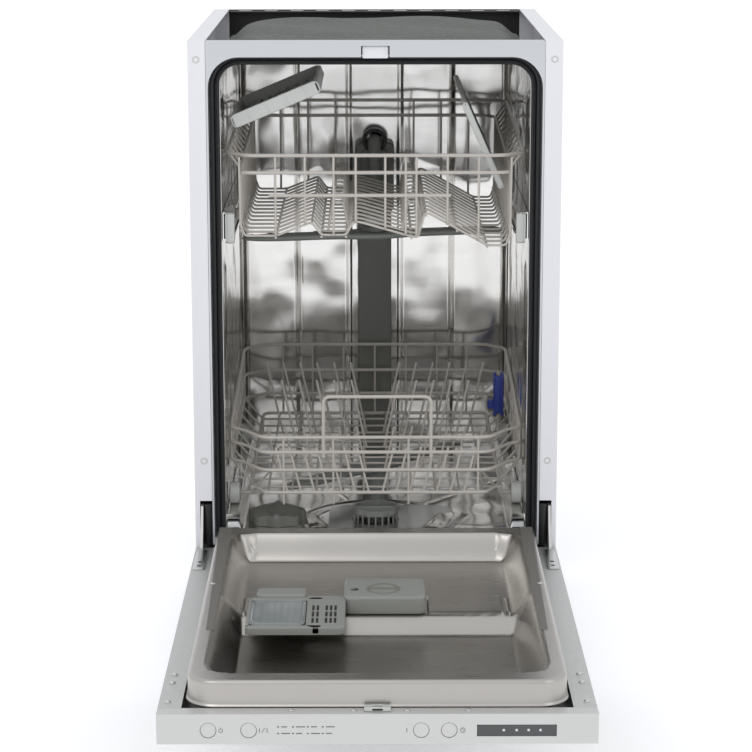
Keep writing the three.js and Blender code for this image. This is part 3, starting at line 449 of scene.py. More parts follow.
def build_tub_floor():
    """The pressed floor with its roller tracks, rings, spokes and wedge, and the sill seal."""
    x, y = np.meshgrid(np.linspace(TUB_LOW[0], TUB_HIGH[0], 240), np.linspace(TUB_LOW[1], TUB_HIGH[1], 230))
    level = 200
    track = ease((np.abs(x) - 168.5) / 4) * (TUB_HIGH[2] - level)
    sump_x, sump_y = filter_centre()
    away = np.hypot(x - sump_x, y - sump_y)
    rings = 0.9 * np.exp(-((away - 78) / 2.0) ** 2) - 1.6 * ease(1 - np.abs(away - 92) / 9)
    off_spoke = np.abs(np.sin(3 * np.arctan2(y - sump_y, x) + 0.5)) * away
    spokes = 0.9 * np.exp(-(off_spoke / 5) ** 2) * ease((away - 100) / 12)
    wedge = 4.0 * pressing(np.abs(x) - 0.35 * (y - FRONT), y, 34, 78, FRONT + 45, FRONT + 128, 8)
    z = level + track + (rings + spokes + wedge) * (np.abs(x) < 166)
    z = np.where(away < 30, 170, z)
    z[0] = level
    place("tub_floor_pressing", [(np.stack([x, y, z], axis=-1), quads(*x.shape))], "rolled_stainless_tub",
          "cabinet", ("tub_floor",), wall=1.0)
    sill = [wire([[-196, FRONT + 20, 208.6], [196, FRONT + 20, 208.6]], 4.6)]
    place("tub_sill_seal", sill, "extruded_black_rubber", "cabinet")


def build_gasket():
    """The door gasket: a two-lipped section carried round the opening."""
    low, high = node_box("door_gasket")
    section = [(0, 8), (0, 1), (2, 0.4), (4.5, 1.6), (5.4, 4), (6.4, 1.8), (9, 0.6), (11.2, 2), (11.4, 8)]
    rings = []
    for inset, depth in section:
        ring = rounded_outline(low[0], high[0], 100, high[2], 36.7, inset, 12)
        ring = ring[ring[:, 1] > high[2] - 60]
        ring = np.concatenate([[[high[0] - inset, low[2]]], ring, [[low[0] + inset, low[2]]]])
        rings.append(np.column_stack([ring[:, 0], np.full(len(ring), low[1] + depth), ring[:, 1]]))
    rings = np.array(rings)
    count = rings.shape[1]
    faces = [tuple(f) for f in quads(len(section), count, wrap_rows=True)]
    faces += [tuple(k * count for k in range(len(section))),
              tuple(k * count + count - 1 for k in range(len(section)))]
    place("gasket", [(rings.reshape(-1, 3), faces)], "extruded_black_rubber", "cabinet", ("door_gasket",))


def build_felt():
    """The felt blanket: a flat pillow with slow lumps, its front raised over the door's collar."""
    low, high = node_box("felt_blanket")
    s, angle = round_grid(0, 1, 70, 160)
    middle, half = (low[1] + high[1]) / 2, (high[1] - low[1]) / 2
    power = 0.42
    x = high[0] * s * np.sign(np.cos(angle)) * np.abs(np.cos(angle)) ** power
    y = middle + half * s * np.sign(np.sin(angle)) * np.abs(np.sin(angle)) ** power
    lumps = 1.6 * np.sin(x / 31 + 1.3 * np.sin(y / 47)) + 1.3 * np.cos(y / 38 + x / 83)
    z = high[2] - 2 + lumps - 18 * ease((s - 0.84) / 0.16) ** 1.3
    rest = np.where(y < FRONT + 42, low[2] + 9.4, low[2])
    top = np.stack([x, y, np.clip(z, rest + 0.6, TOP - 2.5)], axis=-1)
    under = top[::-1].copy()
    under[..., 2] = rest[::-1]
    pillow = np.concatenate([top, under])
    felt = place("felt_cover", [(pillow.reshape(-1, 3), quads(*pillow.shape[:2], wrap_columns=True))],
                 "needled_grey_felt", "cabinet", ("felt_blanket",))


def build_rear_flange():
    """The top edge of the back with its row of slits."""
    back = node_box("rear_panel")[1][1]
    place("rear_flange", [slab(-202.5, 202.5, back - 19, back - 1.5, TOP - 3.4, TOP - 1.4, 2, 0.4)],
          "black_dipped_steel", "cabinet")
    slits = [slab(x - 9, x + 9, back - 8, back - 5.5, TOP - 2, TOP - 0.9, 1, 0.2)
             for x in np.arange(-180, 181, 36)]
    place("rear_flange_slits", slits, "white_stove_enamel", "cabinet")


def build_hinge_brackets():
    """Both hinge brackets and their pins."""
    low, high = node_box("hinge_bracket_right")
    bracket = both(slab(low[0], high[0] - 6, low[1], high[1], low[2], high[2], 4, 0.8))
    pin_profile = [(0, 0), (3.6, 0), (3.9, -0.4), (3.9, -13), (0, -13)]
    pin = both(lathe(pin_profile, (219, FRONT + 11.5, 210.5), "x", 20))
    place("hinge_brackets", bracket + pin, "black_dipped_steel", "cabinet",
          ("hinge_bracket_left", "hinge_bracket_right"))


def build_door_springs():
    """Both coil springs of the door."""
    for side in ("left", "right"):
        low, high = node_box("door_spring_" + side)
        turns = np.linspace(0, 2 * np.pi * 26, 26 * 12)
        coil = np.stack([(low[0] + high[0]) / 2 + 6.6 * np.cos(turns),
                         (low[1] + high[1]) / 2 + 6.6 * np.sin(turns),
                         np.linspace(low[2] + 1.5, high[2] - 1.5, turns.size)], axis=1)
        place("door_spring_coil_" + side, [wire(coil, 2.2, radius=0.01, sides=6, steps=1)], "bright_zinc",
              "cabinet", ("door_spring_" + side,))


def build_catch_and_caps():
    """The catch plate and the caps in the front frame."""
    place("catch_plate", [slab(-15.5, 15.5, 799, 813.5, FRONT + 3.3, FRONT + 4.6, 2, 0.4, "y")],
          "white_stove_enamel", "cabinet")
    profile = [(0, 0.4), (4.6, 0.4), (4.6, 0), (4.1, -0.16), (2.7, -0.16), (2.4, 0.05), (0, 0.05)]
    spots = ((-214, 798), (214, 798), (-212, 304), (212, 304))
    caps = [lathe(profile, (x, FRONT, z), "y", 24) for x, z in spots]
    place("flange_caps", caps, "moulded_light_pp", "cabinet")


def screw(centre):
    """A pan-headed screw standing up along Z."""
    return [lathe([(0, 0), (3.4, 0), (3.4, 0.7), (2.72, 1.5), (1.02, 1.8), (0, 1.8)], centre, sides=18)]


# --- Water system ---

def build_duct():
    """The feed duct on the back wall, with its socket housing."""
    low, high = node_box("water_duct")
    front = low[1]
    parts = [slab(-23.5, 23.5, low[2], 560, front + 5, high[1], 7, 2.5, "y"),
             slab(-27, 27, 540, 640, front, high[1], 9, 3, "y"),
             slab(-19, 19, 556, 630, front - 3.4, front + 4, 6, 2.5, "y"),
             slab(-14, 14, 548, 566, front - 2, front + 6, 4, 1.5, "y")]
    place("feed_duct", parts, "moulded_olive_pp", "cabinet", ("water_duct",))
    ring = [(12, 24), (12, 1), (13, 0), (16, 0), (17, 1.2), (17, 24), (12, 24)]
    place("feed_socket_ring", [lathe(ring, (0, front - 4, 642), "y", 40)], "moulded_black_pp", "cabinet")


def build_filter():
    """Filter cup with its lobed rim, lattice wall and grip."""
    low, high = node_box("filter_cup")
    y = (low[1] + high[1]) / 2
    radius = high[0]
    rim = [(radius - 3, 7), (radius, 7), (radius, 0), (radius - 1.2, -1), (radius - 3, -1), (radius - 3, 7)]
    ring, ring_faces = lathe(rim, (0, y, high[2] - 7), sides=96)
    swell = 1 - 0.05 * (1 - np.cos(10 * np.arctan2(ring[:, 1] - y, ring[:, 0]))) / 2
    ring[:, 0] *= swell
    ring[:, 1] = y + (ring[:, 1] - y) * swell
    parts = [(ring, ring_faces), lathe([(0, 0), (radius - 1, 0), (radius - 1, 2), (0, 2)], (0, y, low[2])),
             slab(-radius + 2, radius - 2, y - 2.2, y + 2.2, high[2] - 16, high[2] - 1, 1.5, 0.8)]
    lattice = radius - 1.6
    for a in np.linspace(0, 2 * np.pi, 20, endpoint=False):
        post_x, post_y = lattice * np.cos(a), y + lattice * np.sin(a)
        parts.append(wire([[post_x, post_y, low[2] + 1], [post_x, post_y, high[2] - 7]], 2.2, sides=6))
    for height in (182, 200):
        hoop = [(lattice * np.cos(a), y + lattice * np.sin(a), height)
                for a in np.linspace(0, 2 * np.pi, 32, endpoint=False)]
        parts.append(wire(hoop, 2.0, True, 1, 6, 1))
    place("filter_basket", parts, "moulded_pale_grey_pp", "filter_cup_body", ("filter_cup",))


def build_salt_cap():
    """The lobed salt cap with its square recess and grip."""
    low, high = node_box("salt_cap")
    centre = (low[:2] + high[:2]) / 2
    s, angle = round_grid(0, 1, 26, 128)
    reach = (35.2 + 1.9 * np.cos(8 * angle)) * np.sin(s * np.pi / 2) ** 0.5
    x, y = s * 35 * np.cos(angle), s * 35 * np.sin(angle)
    recess, grip = pressing(x, y, -24, 24, -24, 24, 3), pressing(x, y, -3.4, 3.4, -26, 26, 2)
    dome = high[2] - 6.5 * ease((s - 0.62) / 0.38) ** 2 - 2.4 * recess + 2.4 * grip
    top = np.stack([centre[0] + reach * np.cos(angle), centre[1] + reach * np.sin(angle), dome], axis=-1)
    base = top[::-1].copy()
    base[..., 2] = low[2]
    cap = np.concatenate([top, base])
    place("salt_cap_lobed", [(cap.reshape(-1, 3), quads(*cap.shape[:2], wrap_columns=True))],
          "moulded_olive_pp", "salt_cap_body", ("salt_cap",))


def squared(wave):
    """A sine or cosine made fuller: sign(w) |w| ^ 0.7."""
    return np.sign(wave) * np.abs(wave) ** 0.7


def spray_arm(name, node, reach, yaw, z0, hub_top):
    """A spray arm: a flat oval section of width w(u) and height h(u) along its length u, with nozzles.

    z0 is the underside of its blades, and hub_top the height of its hub over z0."""
    low = node_box(node)[0]
    u, angle = round_grid(-1, 1, 90, 28)
    taper = np.sqrt(np.clip(1 - np.abs(u) ** 9, 0, 1))
    width = (13 + 10 * np.exp(-(u / 0.33) ** 2) + 1.5 * np.cos(u * 9)) * taper
    height = (4.6 + 1.0 * np.exp(-(u / 0.2) ** 2)) * taper
    blade = np.stack([u * (reach - 1), width * squared(np.cos(angle)),
                      z0 + 5.6 + height * squared(np.sin(angle))], axis=-1)
    parts = [(blade.reshape(-1, 3), quads(*blade.shape[:2], wrap_columns=True))]
    foot = low[2] - z0
    parts.append(lathe([(0, foot), (15.5, foot), (16.5, foot + 1), (16.5, 9), (13, hub_top - 1),
                        (0, hub_top)], (0, 0, z0), sides=32))
    for k, spot in enumerate((-0.92, -0.78, -0.6, -0.44, -0.28, 0.26, 0.42, 0.58, 0.76, 0.9)):
        parts.append(lathe([(0, 9.2), (3.6, 9.2), (3.2, 11), (1.6, 11), (1.4, 10), (0, 10)],
                           (spot * reach, 4 if k % 2 else -4, z0), sides=14))
    c, s = np.cos(np.radians(yaw)), np.sin(np.radians(yaw))
    turn = np.array([[c, s, 0], [-s, c, 0], [0, 0, 1]])
    turned = [(points @ turn + np.array([0, ARM_Y, 0]), faces) for points, faces in parts]
    place(name, turned, "moulded_grey_pp", node + "_body", (node,))


def build_spray_arms():
    """The lower arm stands on its hub and the upper arm hangs from the feed pipe."""
    lower_top = node_box("lower_spray_arm")[1][2]
    spray_arm("lower_arm_blade", "lower_spray_arm", 168, 45, lower_top - 14, 12.8)
    upper_low = node_box("upper_spray_arm")[0][2]
    spray_arm("upper_arm_blade", "upper_spray_arm", 178, 12, upper_low, 17.4)


# --- Door ---

def build_liner():
    """The pressed liner: a rounded rectangle's rings shrink to a line and follow the two-level bowl."""
    x0, y0, x1, y1 = LINER_LOW[0], LINER_LOW[1], LINER_HIGH[0], LINER_HIGH[1]
    edge = np.array([0, 0.4, 1.6, 2.0, 2.0, 2.6, 3.8, 5.6])
    drop = np.array([27.5, 26.6, 25.6, 24, 4.2, 1.7, 0.4, 0])
    inner = np.concatenate([np.linspace(7, 12, 3), np.linspace(14, 60, 47), np.linspace(62, x1, 68)])
    rings = []
    for inset, fall in zip(np.concatenate([edge, inner]), np.concatenate([drop, 0 * inner])):
        corners = rounded_outline(x0, x1, y0, y1, 32, inset, LINER_CORNER - 1)
        ring = []
        for k, arc in enumerate(np.split(corners, 4)):
            start_of_next = corners[(k + 1) * LINER_CORNER % len(corners)]
            side = np.linspace(arc[-1], start_of_next, LINER_SIDES[(k + 1) % 2], endpoint=False)
            ring += [arc[:-1], side]
        ring = np.concatenate(ring)
        rings.append(np.column_stack([ring, np.full(len(ring), RIM - fall)]))
    grid = np.array(rings)
    x, v = grid[..., 0], grid[..., 1] - FRONT
    side = ease((179 - np.abs(x)) / 27)
    rear = ease((-43 - v) / 17)
    front = ease((v + 552) / 13)
    floor = 33 + 17.5 * ease((-264 - v) / 25)
    past_x, past_y = np.abs(x) - 150, np.abs(v + 297.5) - 225
    corner = ease((np.hypot(np.clip(past_x, 0, None), np.clip(past_y, 0, None)) - 29) / -16)
    bowl = np.minimum(side, np.minimum(rear, front)) * np.where((past_x > 0) & (past_y > 0), corner, 1)
    crease = (2.2 * pressing(x, v, 58, 146, -263, -198, 2.5)
              + 2.5 * pressing(np.abs(x), v, 148, 154, -262, -205, 2.5))
    grid[..., 2] -= np.where(grid[..., 2] >= RIM - 1e-6, floor * bowl - crease * bowl, 0)
    grid[-1, :, 0] = 0.0
    faces = quads(grid.shape[0], grid.shape[1], wrap_columns=True)
    place("liner_pressing", [(grid.reshape(-1, 3), faces)], "pressed_stainless_liner", "door",
          ("door_inner_liner",), wall=0.8)


def build_door_fittings():
    """Side strips, screws, and the hinge feet with their holes."""
    seals = both(prism([(-177, FRONT - 22), (-193, FRONT - 22), (-189, FRONT - 160), (-184, FRONT - 415),
                        (-177, FRONT - 415)][::-1], RIM - 0.4, RIM + 0.22))
    place("liner_side_seals", seals, "extruded_grey_rubber", "door")
    # One screw in each side strip, three down each side of the tray and four along its far edge.
    spots = [(sx * 186.5, FRONT - 250, RIM - 0.4) for sx in (-1, 1)]
    spots += [(sx * x, FRONT - v, 197) for sx in (-1, 1) for x, v in ((213, 478), (213.5, 503), (214, 560))]
    spots += [(x, FRONT - 584.5, 197) for x in (-87, -24, 30, 92)]
    place("door_screws", [part for spot in spots for part in screw(spot)], "bright_zinc", "door")
    feet = both(slab(207, 220.5, FRONT - 108, FRONT - 29, 197.1, 198.7, 3, 0.5))
    place("hinge_feet", feet, "bright_zinc", "door")
    holes = [lathe([(0, 0), (2.8, 0), (2.8, 0.25), (0, 0.25)], (sx * 213.5, FRONT - v, 198.5), sides=16)
             for sx in (-1, 1) for v in (96, 80)]
    place("hinge_foot_holes", holes, "moulded_black_pp", "door")


def build_latch():
    """The latch loop and its dark mouth."""
    low, high = node_box("door_latch")
    y = (low[1] + high[1]) / 2
    parts = [slab(low[0], high[0], low[1], y - 2.6, low[2], high[2], 1.6, 0.7),
             slab(low[0], high[0], y + 2.6, high[1], low[2], high[2], 1.6, 0.7),
             slab(low[0], -5, low[1] + 1, high[1] - 1, low[2], high[2], 1.4, 0.6),
             slab(5, high[0], low[1] + 1, high[1] - 1, low[2], high[2], 1.4, 0.6)]
    mouth = [slab(-5.5, 5.5, low[2] + 1, high[2] - 1.2, low[1] - 0.05, low[1] + 0.5, 0.9, 0.1, "y")]
    place("latch_mouth", mouth, "moulded_black_pp", "door")
    place("latch_loop", parts, "moulded_light_pp", "door", ("door_latch",))


def build_dispenser_housing():
    """Detergent tray with its grilles, and the rinse aid box with its level window."""
    low, high = node_box("dispenser_body")
    deck = 211
    tray = [slab(low[0], -35, low[1], FRONT - 257, 202, 204, 9, 0.8),
            slab(low[0], low[0] + 4, low[1] + 2, FRONT - 260, 202.4, deck, 2, 1),
            slab(-78.6, -35, low[1], FRONT - 257, 202.4, deck, 8, 1.6),
            slab(low[0], -60, low[1], low[1] + 9, 202.4, deck, 4, 1.6),
            slab(low[0], -60, FRONT - 265.5, FRONT - 257, 202.4, deck, 4, 1.6)]
    box = [slab(-37, high[0], FRONT - 266, high[1], low[2], 214, 8, 3.5),
           slab(low[0] + 8, -80, FRONT - 258, FRONT - 230, low[2] + 3, 214, 7, 2.5),
           slab(-90, -30, FRONT - 258, FRONT - 246, 200, 209, 2, 1)]
    place("dispenser_housing", tray + box, "moulded_pale_grey_pp", "door", ("dispenser_body",))
    bars = [slab(x - 1.3, x + 1.3, y, y + 17, deck - 0.8, deck + 0.35, 1.0, 0.2)
            for x in (-71, -66, -56, -51, -46) for y in np.arange(low[1] + 16, FRONT - 290, 22)]
    place("dispenser_grilles", bars, "moulded_black_pp", "door")
    window = [slab(-30, -20, FRONT - 243, FRONT - 233, 213.5, 214.4, 5, 0.3)]
    place("rinse_level_window", window, "smoked_acrylic", "door")


def build_detergent_lid():
    """The lid with its frame and ribs."""
    low, high = node_box("detergent_lid")
    lid = [slab(low[0], high[0], low[1], high[1], low[2], high[2] - 0.7, 11, 0.7)]
    left, right, near, far, rise = low[0] + 3, high[0] - 3, low[1] + 3, high[1] - 3, high[2] - 0.8
    frame = wire([[left, near, rise], [right, near, rise], [right, far, rise], [left, far, rise]], 3,
                 True, 14)
    ribs = [slab(x - 0.7, x + 0.7, low[1] + 12, high[1] - 12, high[2] - 1, high[2] - 0.2, 0.6, 0.2)
            for x in np.linspace(low[0] + 12, high[0] - 12, 6)]
    place("lid_panel", lid + [frame] + ribs, "tinted_polystyrene_lid", "detergent_lid_body",
          ("detergent_lid",))


def build_rinse_cap():
    """The round rinse aid cap with its grip."""
    low, high = node_box("rinse_cap")
    centre = ((low[0] + high[0]) / 2, (low[1] + high[1]) / 2, low[2])
    profile = [(0, 0), (19.6, 0), (20, 0.6), (20, 6.6), (18.6, 7.6), (16, 7.2), (15, 5.8), (0, 5.4)]
    grip = slab(centre[0] - 16, centre[0] + 16, centre[1] - 2.4, centre[1] + 2.4, low[2] + 4, high[2] - 0.2,
                2, 0.9)
    place("rinse_cap_dial", [lathe(profile, centre), grip], "moulded_olive_pp", "rinse_cap_body",
          ("rinse_cap",))


def build_buttons():
    """The four round push buttons."""
    for name in ("power_button", "half_load_button", "program_button", "delay_button"):
        low, high = node_box(name)
        centre = ((low[0] + high[0]) / 2, low[1], (low[2] + high[2]) / 2)
        profile = [(0, 0.5), (4, 0.35), (6.9, 0), (7.7, 0.3), (8, 1), (8, 9), (0, 9)]
        place(name + "_cap", [lathe(profile, centre, "y", 48)], "silver_painted_fascia", name + "_body",
              (name,))


def build_display():
    """The smoked window and its four lights."""
    low, high = node_box("display_window")
    place("display_pane", [slab(low[0], high[0], low[2], high[2], low[1], high[1], 2.5, 0.4, "y")],
          "smoked_acrylic", "door", ("display_window",))
    lights = [slab(x, x + 2.6, 178.2, 180.8, low[1] - 0.12, low[1] + 0.4, 1.0, 0.1, "y")
              for x in (126, 139, 151, 163)]
    place("display_symbols", lights, "printed_pale_ink", "door")


def build_fascia_marks():
    """Generic printed marks: a power ring, a half mark, strokes with dots, and a clock ring."""
    face = FASCIA_LOW[1]
    depth = face - 0.12
    # An open ring with its stroke.
    ring = [(-158 + 2.1 * np.cos(a), depth, 179.6 + 2.1 * np.sin(a)) for a in np.linspace(-4.2, 1.1, 14)]
    marks = [wire(ring, 0.5, sides=5, steps=1),
             wire([(-158, depth, 180.2), (-158, depth, 183)], 0.5, sides=5)]
    # One half.
    marks += [wire([(-119, depth, 177.6), (-119, depth, 181.8)], 0.6, sides=5),
              wire([(-116.6, depth, 177.2), (-113.6, depth, 182.2)], 0.45, sides=5),
              wire([(-112.4, depth, 181.4), (-110.4, depth, 181.2), (-112.4, depth, 178),
                    (-110, depth, 178)], 0.5, sides=5)]
    # Two rows of strokes, each with its dot.
    for row, z in enumerate((183.4, 176.4)):
        for x in (-97, -82, -67, -52):
            marks.append(wire([(x, depth, z), (x + 9 - 3 * ((x + row) % 2), depth, z)], 0.9, sides=5))
            marks.append(lathe([(0, -0.1), (0.9, -0.1), (0.9, 0.3), (0, 0.3)], (x - 3.2, face, z), "y", 12))
    # A single upright stroke, then a clock's ring and hands.
    marks.append(wire([(29.5, depth, 177.4), (29.5, depth, 182)], 0.6, sides=5))
    clock = [(86 + 2.5 * np.cos(a), depth, 179.6 + 2.5 * np.sin(a))
             for a in np.linspace(0, 2 * np.pi, 18, endpoint=False)]
    marks += [wire(clock, 0.5, True, 1, 5, 1),
              wire([(86, depth, 181.4), (86, depth, 179.6), (87.4, depth, 179.2)], 0.4, sides=5)]
    place("fascia_marks", marks, "printed_grey_ink", "door")


# --- Baskets ---

# The upper basket's cross wires as (x, z) stops, and half the widths of its rim and of its wall.
UPPER_STEPS = [(-165, 594), (-160, 580), (-122, 580), (-78, 597), (-66, 581), (-36, 581), (-27, 597),
               (-19, 597), (44, 579), (52, 578), (60, 607), (65, 608), (137, 568), (160, 568), (165, 582)]
UPPER_HALF = 181
UPPER_WALL = 166


def build_upper_basket(sizes):
    """Upper basket wires: two rails, stepped cross wires, long wires, end wires and cup ridges."""
    thick, thin = sizes.rail_wire / MM, sizes.thin_wire / MM
    y0, y1 = UPPER_LOW[1] + 2.3, UPPER_HIGH[1] - 2.3

    def loop(half, corner, front, rear):
        return wire([[-half + corner, y0, front], [half - corner, y0, front], [half, y0 + corner, front],
                     [half, y1 - 20, rear], [half - 20, y1, rear], [-half + 20, y1, rear],
                     [-half, y1 - 20, rear], [-half, y0 + corner, front]], thick, True, 9)

    parts = [loop(UPPER_HALF, 26, 679, 701), loop(UPPER_WALL, 9, 658, 680)]
    for y in np.linspace(y0 + 3, y1 - 14, 14):
        rise = 22 * (y - y0) / (y1 - y0)
        stops = [[x, y, z] for x, z in UPPER_STEPS]
        if y > y0 + 26:
            stops = [[-UPPER_WALL, y, 657 + rise]] + stops + [[UPPER_WALL, y, 657 + rise]]
            stops = [[-UPPER_HALF, y, 678 + rise]] + stops + [[UPPER_HALF, y, 678 + rise]]
        else:
            stops = [[-UPPER_WALL, y, 677]] + stops + [[UPPER_WALL, y, 677]]
        parts.append(wire(stops, thin, radius=4, sides=7, steps=3))
    for x, z in ((-164, 587), (-122, 578), (-78, 595), (-66, 579), (-36, 579), (-27, 595), (44, 577),
                 (62, 605), (100, 586), (137, 566), (164, 580)):
        parts.append(wire([[x, y0, z], [x, y1 - 6, z]], thin, sides=7))
    for x, z in ((-122, 580), (-86, 594), (-51, 581), (-24, 597), (12, 588), (37, 581), (50, 580),
                 (88, 594), (126, 574)):
        parts.append(wire([[x, y0, 679], [x, y0, z], [x, y0 + 14, z]], thin, radius=5, sides=7))
    for x in (-130, -92, -54, 54, 92, 130):
        z = np.interp(x, [p[0] for p in UPPER_STEPS], [p[1] for p in UPPER_STEPS])
        parts.append(wire([[x, y1, 701], [x, y1, z], [x, y1 - 14, z]], thin, radius=5, sides=7))
    parts.append(wire([[-130, y0, 630], [92, y0, 630]], thick))
    for x0 in (-62, 30):
        for y in np.linspace(y0 + 30, y1 - 40, 11):
            parts.append(wire([[x0 + 4, y, 583], [x0 + 10, y, 618], [x0 + 22, y, 618], [x0 + 28, y, 590]],
                              thin, radius=5, sides=6))
    for side in (-1, 1):
        parts.append(wire([[side * 166.5, y0 + 13, 600], [side * 166.5, y1 - 20, 600]], thin, sides=7))
        for y in (FRONT + 118, FRONT + 300):
            parts.append(slab(*sorted((side * 165.5, side * 175.2)), y - 6, y + 6, 588, 601, 2, 0.8))
    place("upper_basket_wires", parts, "nylon_coated_wire", "upper_rack", ("upper_basket",))


def build_slide_caps():
    """Moulded caps on the front of both slides."""
    low, high = node_box("basket_slide_right")
    cap = both(slab(low[0] - 0.2, high[0] - 1.4, low[2] - 0.4, high[2] + 0.4, low[1] - 0.6, low[1] + 14,
                    4.8, 3, "y"))
    place("slide_caps", cap, "moulded_light_pp", "upper_rack")


def build_feed_pipe():
    """The pipe that feeds the upper spray arm, with the arm's hub and bracket."""
    route = [[0, ARM_Y, 571], [0, FRONT + 461, 571], [0, FRONT + 461, 642], [0, FRONT + 470.8, 642]]
    parts = [wire(route, 18.4, radius=12, sides=24, steps=8),
             lathe([(0, 0), (14.5, 0), (15, 1), (15, 9), (11, 12), (0, 12)], (0, ARM_Y, 561)),
             slab(-15, 15, FRONT + 200, FRONT + 268, 566, 577, 6, 2)]
    place("feed_pipe", parts, "moulded_grey_pp", "upper_rack", ("upper_feed_pipe",))


def shelf(node, pivot_x, pivot_z, angle, lip):
    """A cup shelf: a moulded frame with cross ribs and end lips that rise to lip, turned about its pivot."""
    low, high = node_box(node)
    y0, y1 = low[1], high[1]
    corner = min(6.5, (lip + 9.6) / 2)
    parts = [slab(4, 120, -9.8, lip, y0, y0 + 4, corner, 1.4, "y"),
             slab(4, 120, -9.8, lip, y1 - 4, y1, corner, 1.4, "y"),
             slab(4, 9, y0, y1, -8, lip - 2, 2, 1.2), slab(114, 120, y0, y1, -8, lip - 2, 2, 1.5),
             slab(6, 118, y0 + 1, y1 - 1, -8.8, -7.2, 3, 0.5)]
    parts += [slab(x, x + 1.6, -8, lip - 2, y0 - 0.5, y0 + 1, 0.7, 0.3, "y")
              for x in np.linspace(26, 100, 4)]
    parts += [slab(x, x + 2.4, y0 + 2, y1 - 2, -7.5, -4.5, 1, 0.5) for x in np.linspace(18, 106, 8)]
    parts += [slab(5, 116, y - 1.2, y + 1.2, -8, -5.5, 1, 0.5) for y in np.linspace(y0, y1, 6)[1:-1]]
    c, s = np.cos(np.radians(angle)), np.sin(np.radians(angle))
    turn = np.array([[c, 0, s], [0, 1, 0], [-s, 0, c]])
    turned = [(points @ turn + np.array([pivot_x, 0, pivot_z]), faces) for points, faces in parts]
    place(node + "_moulding", turned, "moulded_light_pp", node + "_body", (node,))


def tines(y, z, pitch, height, half, lean, thin):
    """A row of round-topped tines that lean outwards, on one cross wire."""
    parts = [wire([[-half, y, z], [half, y, z]], thin, sides=6)]
    for x in np.arange(pitch / 2, half - lean, pitch):
        for side in (-1, 1):
            parts.append(wire([[side * x, y, z], [side * (x + lean), y, z + height]], thin, sides=6))
            tip = np.array([side * (x + lean), y, z + height])
            parts.append(lathe([(thin / 2, -0.6), (thin / 2, 0), (thin * 0.35, 1), (0, 1.4)], tip, sides=8))
    return parts


def build_lower_basket(sizes):
    """Lower basket wires: three rails, the floor grid, side wires, handle and fixed tines."""
    thick, thin = sizes.rail_wire / MM, sizes.thin_wire / MM
    y0, y1, jog = LOWER_LOW[1] + 2.3, LOWER_HIGH[1] - 2.3, FRONT + 74
    floor = 255

    def rail(front, rear):
        return wire([[-141, y0, front], [141, y0, front], [168, jog, front], [183, jog + 9, front],
                     [183, y1 - 30, rear], [153, y1, rear], [-153, y1, rear], [-183, y1 - 30, rear],
                     [-183, jog + 9, front], [-168, jog, front]], thick, True, 12)

    parts = [rail(326, 355), rail(307, 318), rail(284, 284)]
    parts.append(wire([[-138, y0, floor], [138, y0, floor], [158, jog, floor], [158, y1, floor],
                       [-158, y1, floor], [-158, jog, floor]], thick, True, 12))
    parts += [wire([[x, y0, floor], [x, y1, floor]], thin, sides=7) for x in np.arange(-135, 136, 30)]
    parts += [wire([[-158, FRONT + d, floor], [158, FRONT + d, floor]], thin, sides=7)
              for d in (58, 98, 175, 205, 290, 380, 420)]
    uprights = (-115, -53, 41, 128)
    parts += [wire([[x, y0 + 12, floor], [x, y0, floor], [x, y0, 240]], thin, radius=5, sides=7)
              for x in uprights]
    parts += [wire([[x, y0, 243], [x, y0, 328]], thin, sides=7) for x in uprights]
    parts += [wire([[x, y1, floor], [x, y1, 355]], thin, sides=7) for x in (-130, -88, -44, 0, 44, 88, 130)]
    for side in (-1, 1):
        for y in np.linspace(jog + 14, y1 - 34, 8):
            top = np.interp(y, [jog, y1], [326, 355])
            parts.append(wire([[side * 158, y, floor], [side * 183, y, 284], [side * 183, y, top]], thin,
                              radius=5, sides=7))
        for y in (FRONT + 90, FRONT + 400):
            parts.append(wire([[side * 158, y, floor], [side * 158, y, 239.3], [side * 187, y, 239.3]], 5.4,
                              radius=3))
        parts.append(wire([[side * 130, y0 + 2, 284], [side * 150, jog - 14, floor + 2]], thin, sides=7))
    parts.append(wire([[-65, y0, 300], [-65, y0, 378], [69, y0, 378], [69, y0, 300]], thick, radius=9))
    parts += tines(FRONT + 136, floor, 23, 58, 157, 12.8, thin)
    parts += tines(FRONT + 340, floor, 23, 98, 157, 21.6, thin)
    parts += tines(y0 + 1, floor, 17, 57, 140, 14, thin)
    parts.append(wire([[166.5, FRONT + 296, 262], [166.5, FRONT + 296, 352]], thin))
    parts.append(wire([[158, FRONT + 296, floor], [166.5, FRONT + 296, 264]], thin))
    place("lower_basket_wires", parts, "nylon_coated_wire", "lower_rack", ("lower_basket",))


def build_folding_tines(sizes):
    """The folding row of tines."""
    place("tine_rack_wires", tines(FRONT + 225, 264, 23, 90.5, 128, 20, sizes.thin_wire / MM),
          "nylon_coated_wire", "folding_tines_body", ("folding_tines",))


def build_rack_clip():
    """The blue clip beside the folding tines."""
    low, high = node_box("rack_clip")
    y = (low[1] + high[1]) / 2
    clip = [slab(160, 163.5, y - 7, y + 7, low[2], high[2], 1.5, 0.8),
            slab(169.6, 173.4, y - 7, y + 7, low[2], high[2], 1.5, 0.8),
            slab(162, 171, y - 7.6, y - 2.2, low[2] + 4, high[2] - 4, 2, 1),
            slab(low[0], 161, y - 5, y + 5, 300, 312, 2, 1),
            slab(162, 171, y + 2.2, y + 7.6, low[2] + 16, high[2] - 10, 2, 1)]
    place("blue_clip", clip, "blue_moulded_nylon", "rack_clip_body", ("rack_clip",))


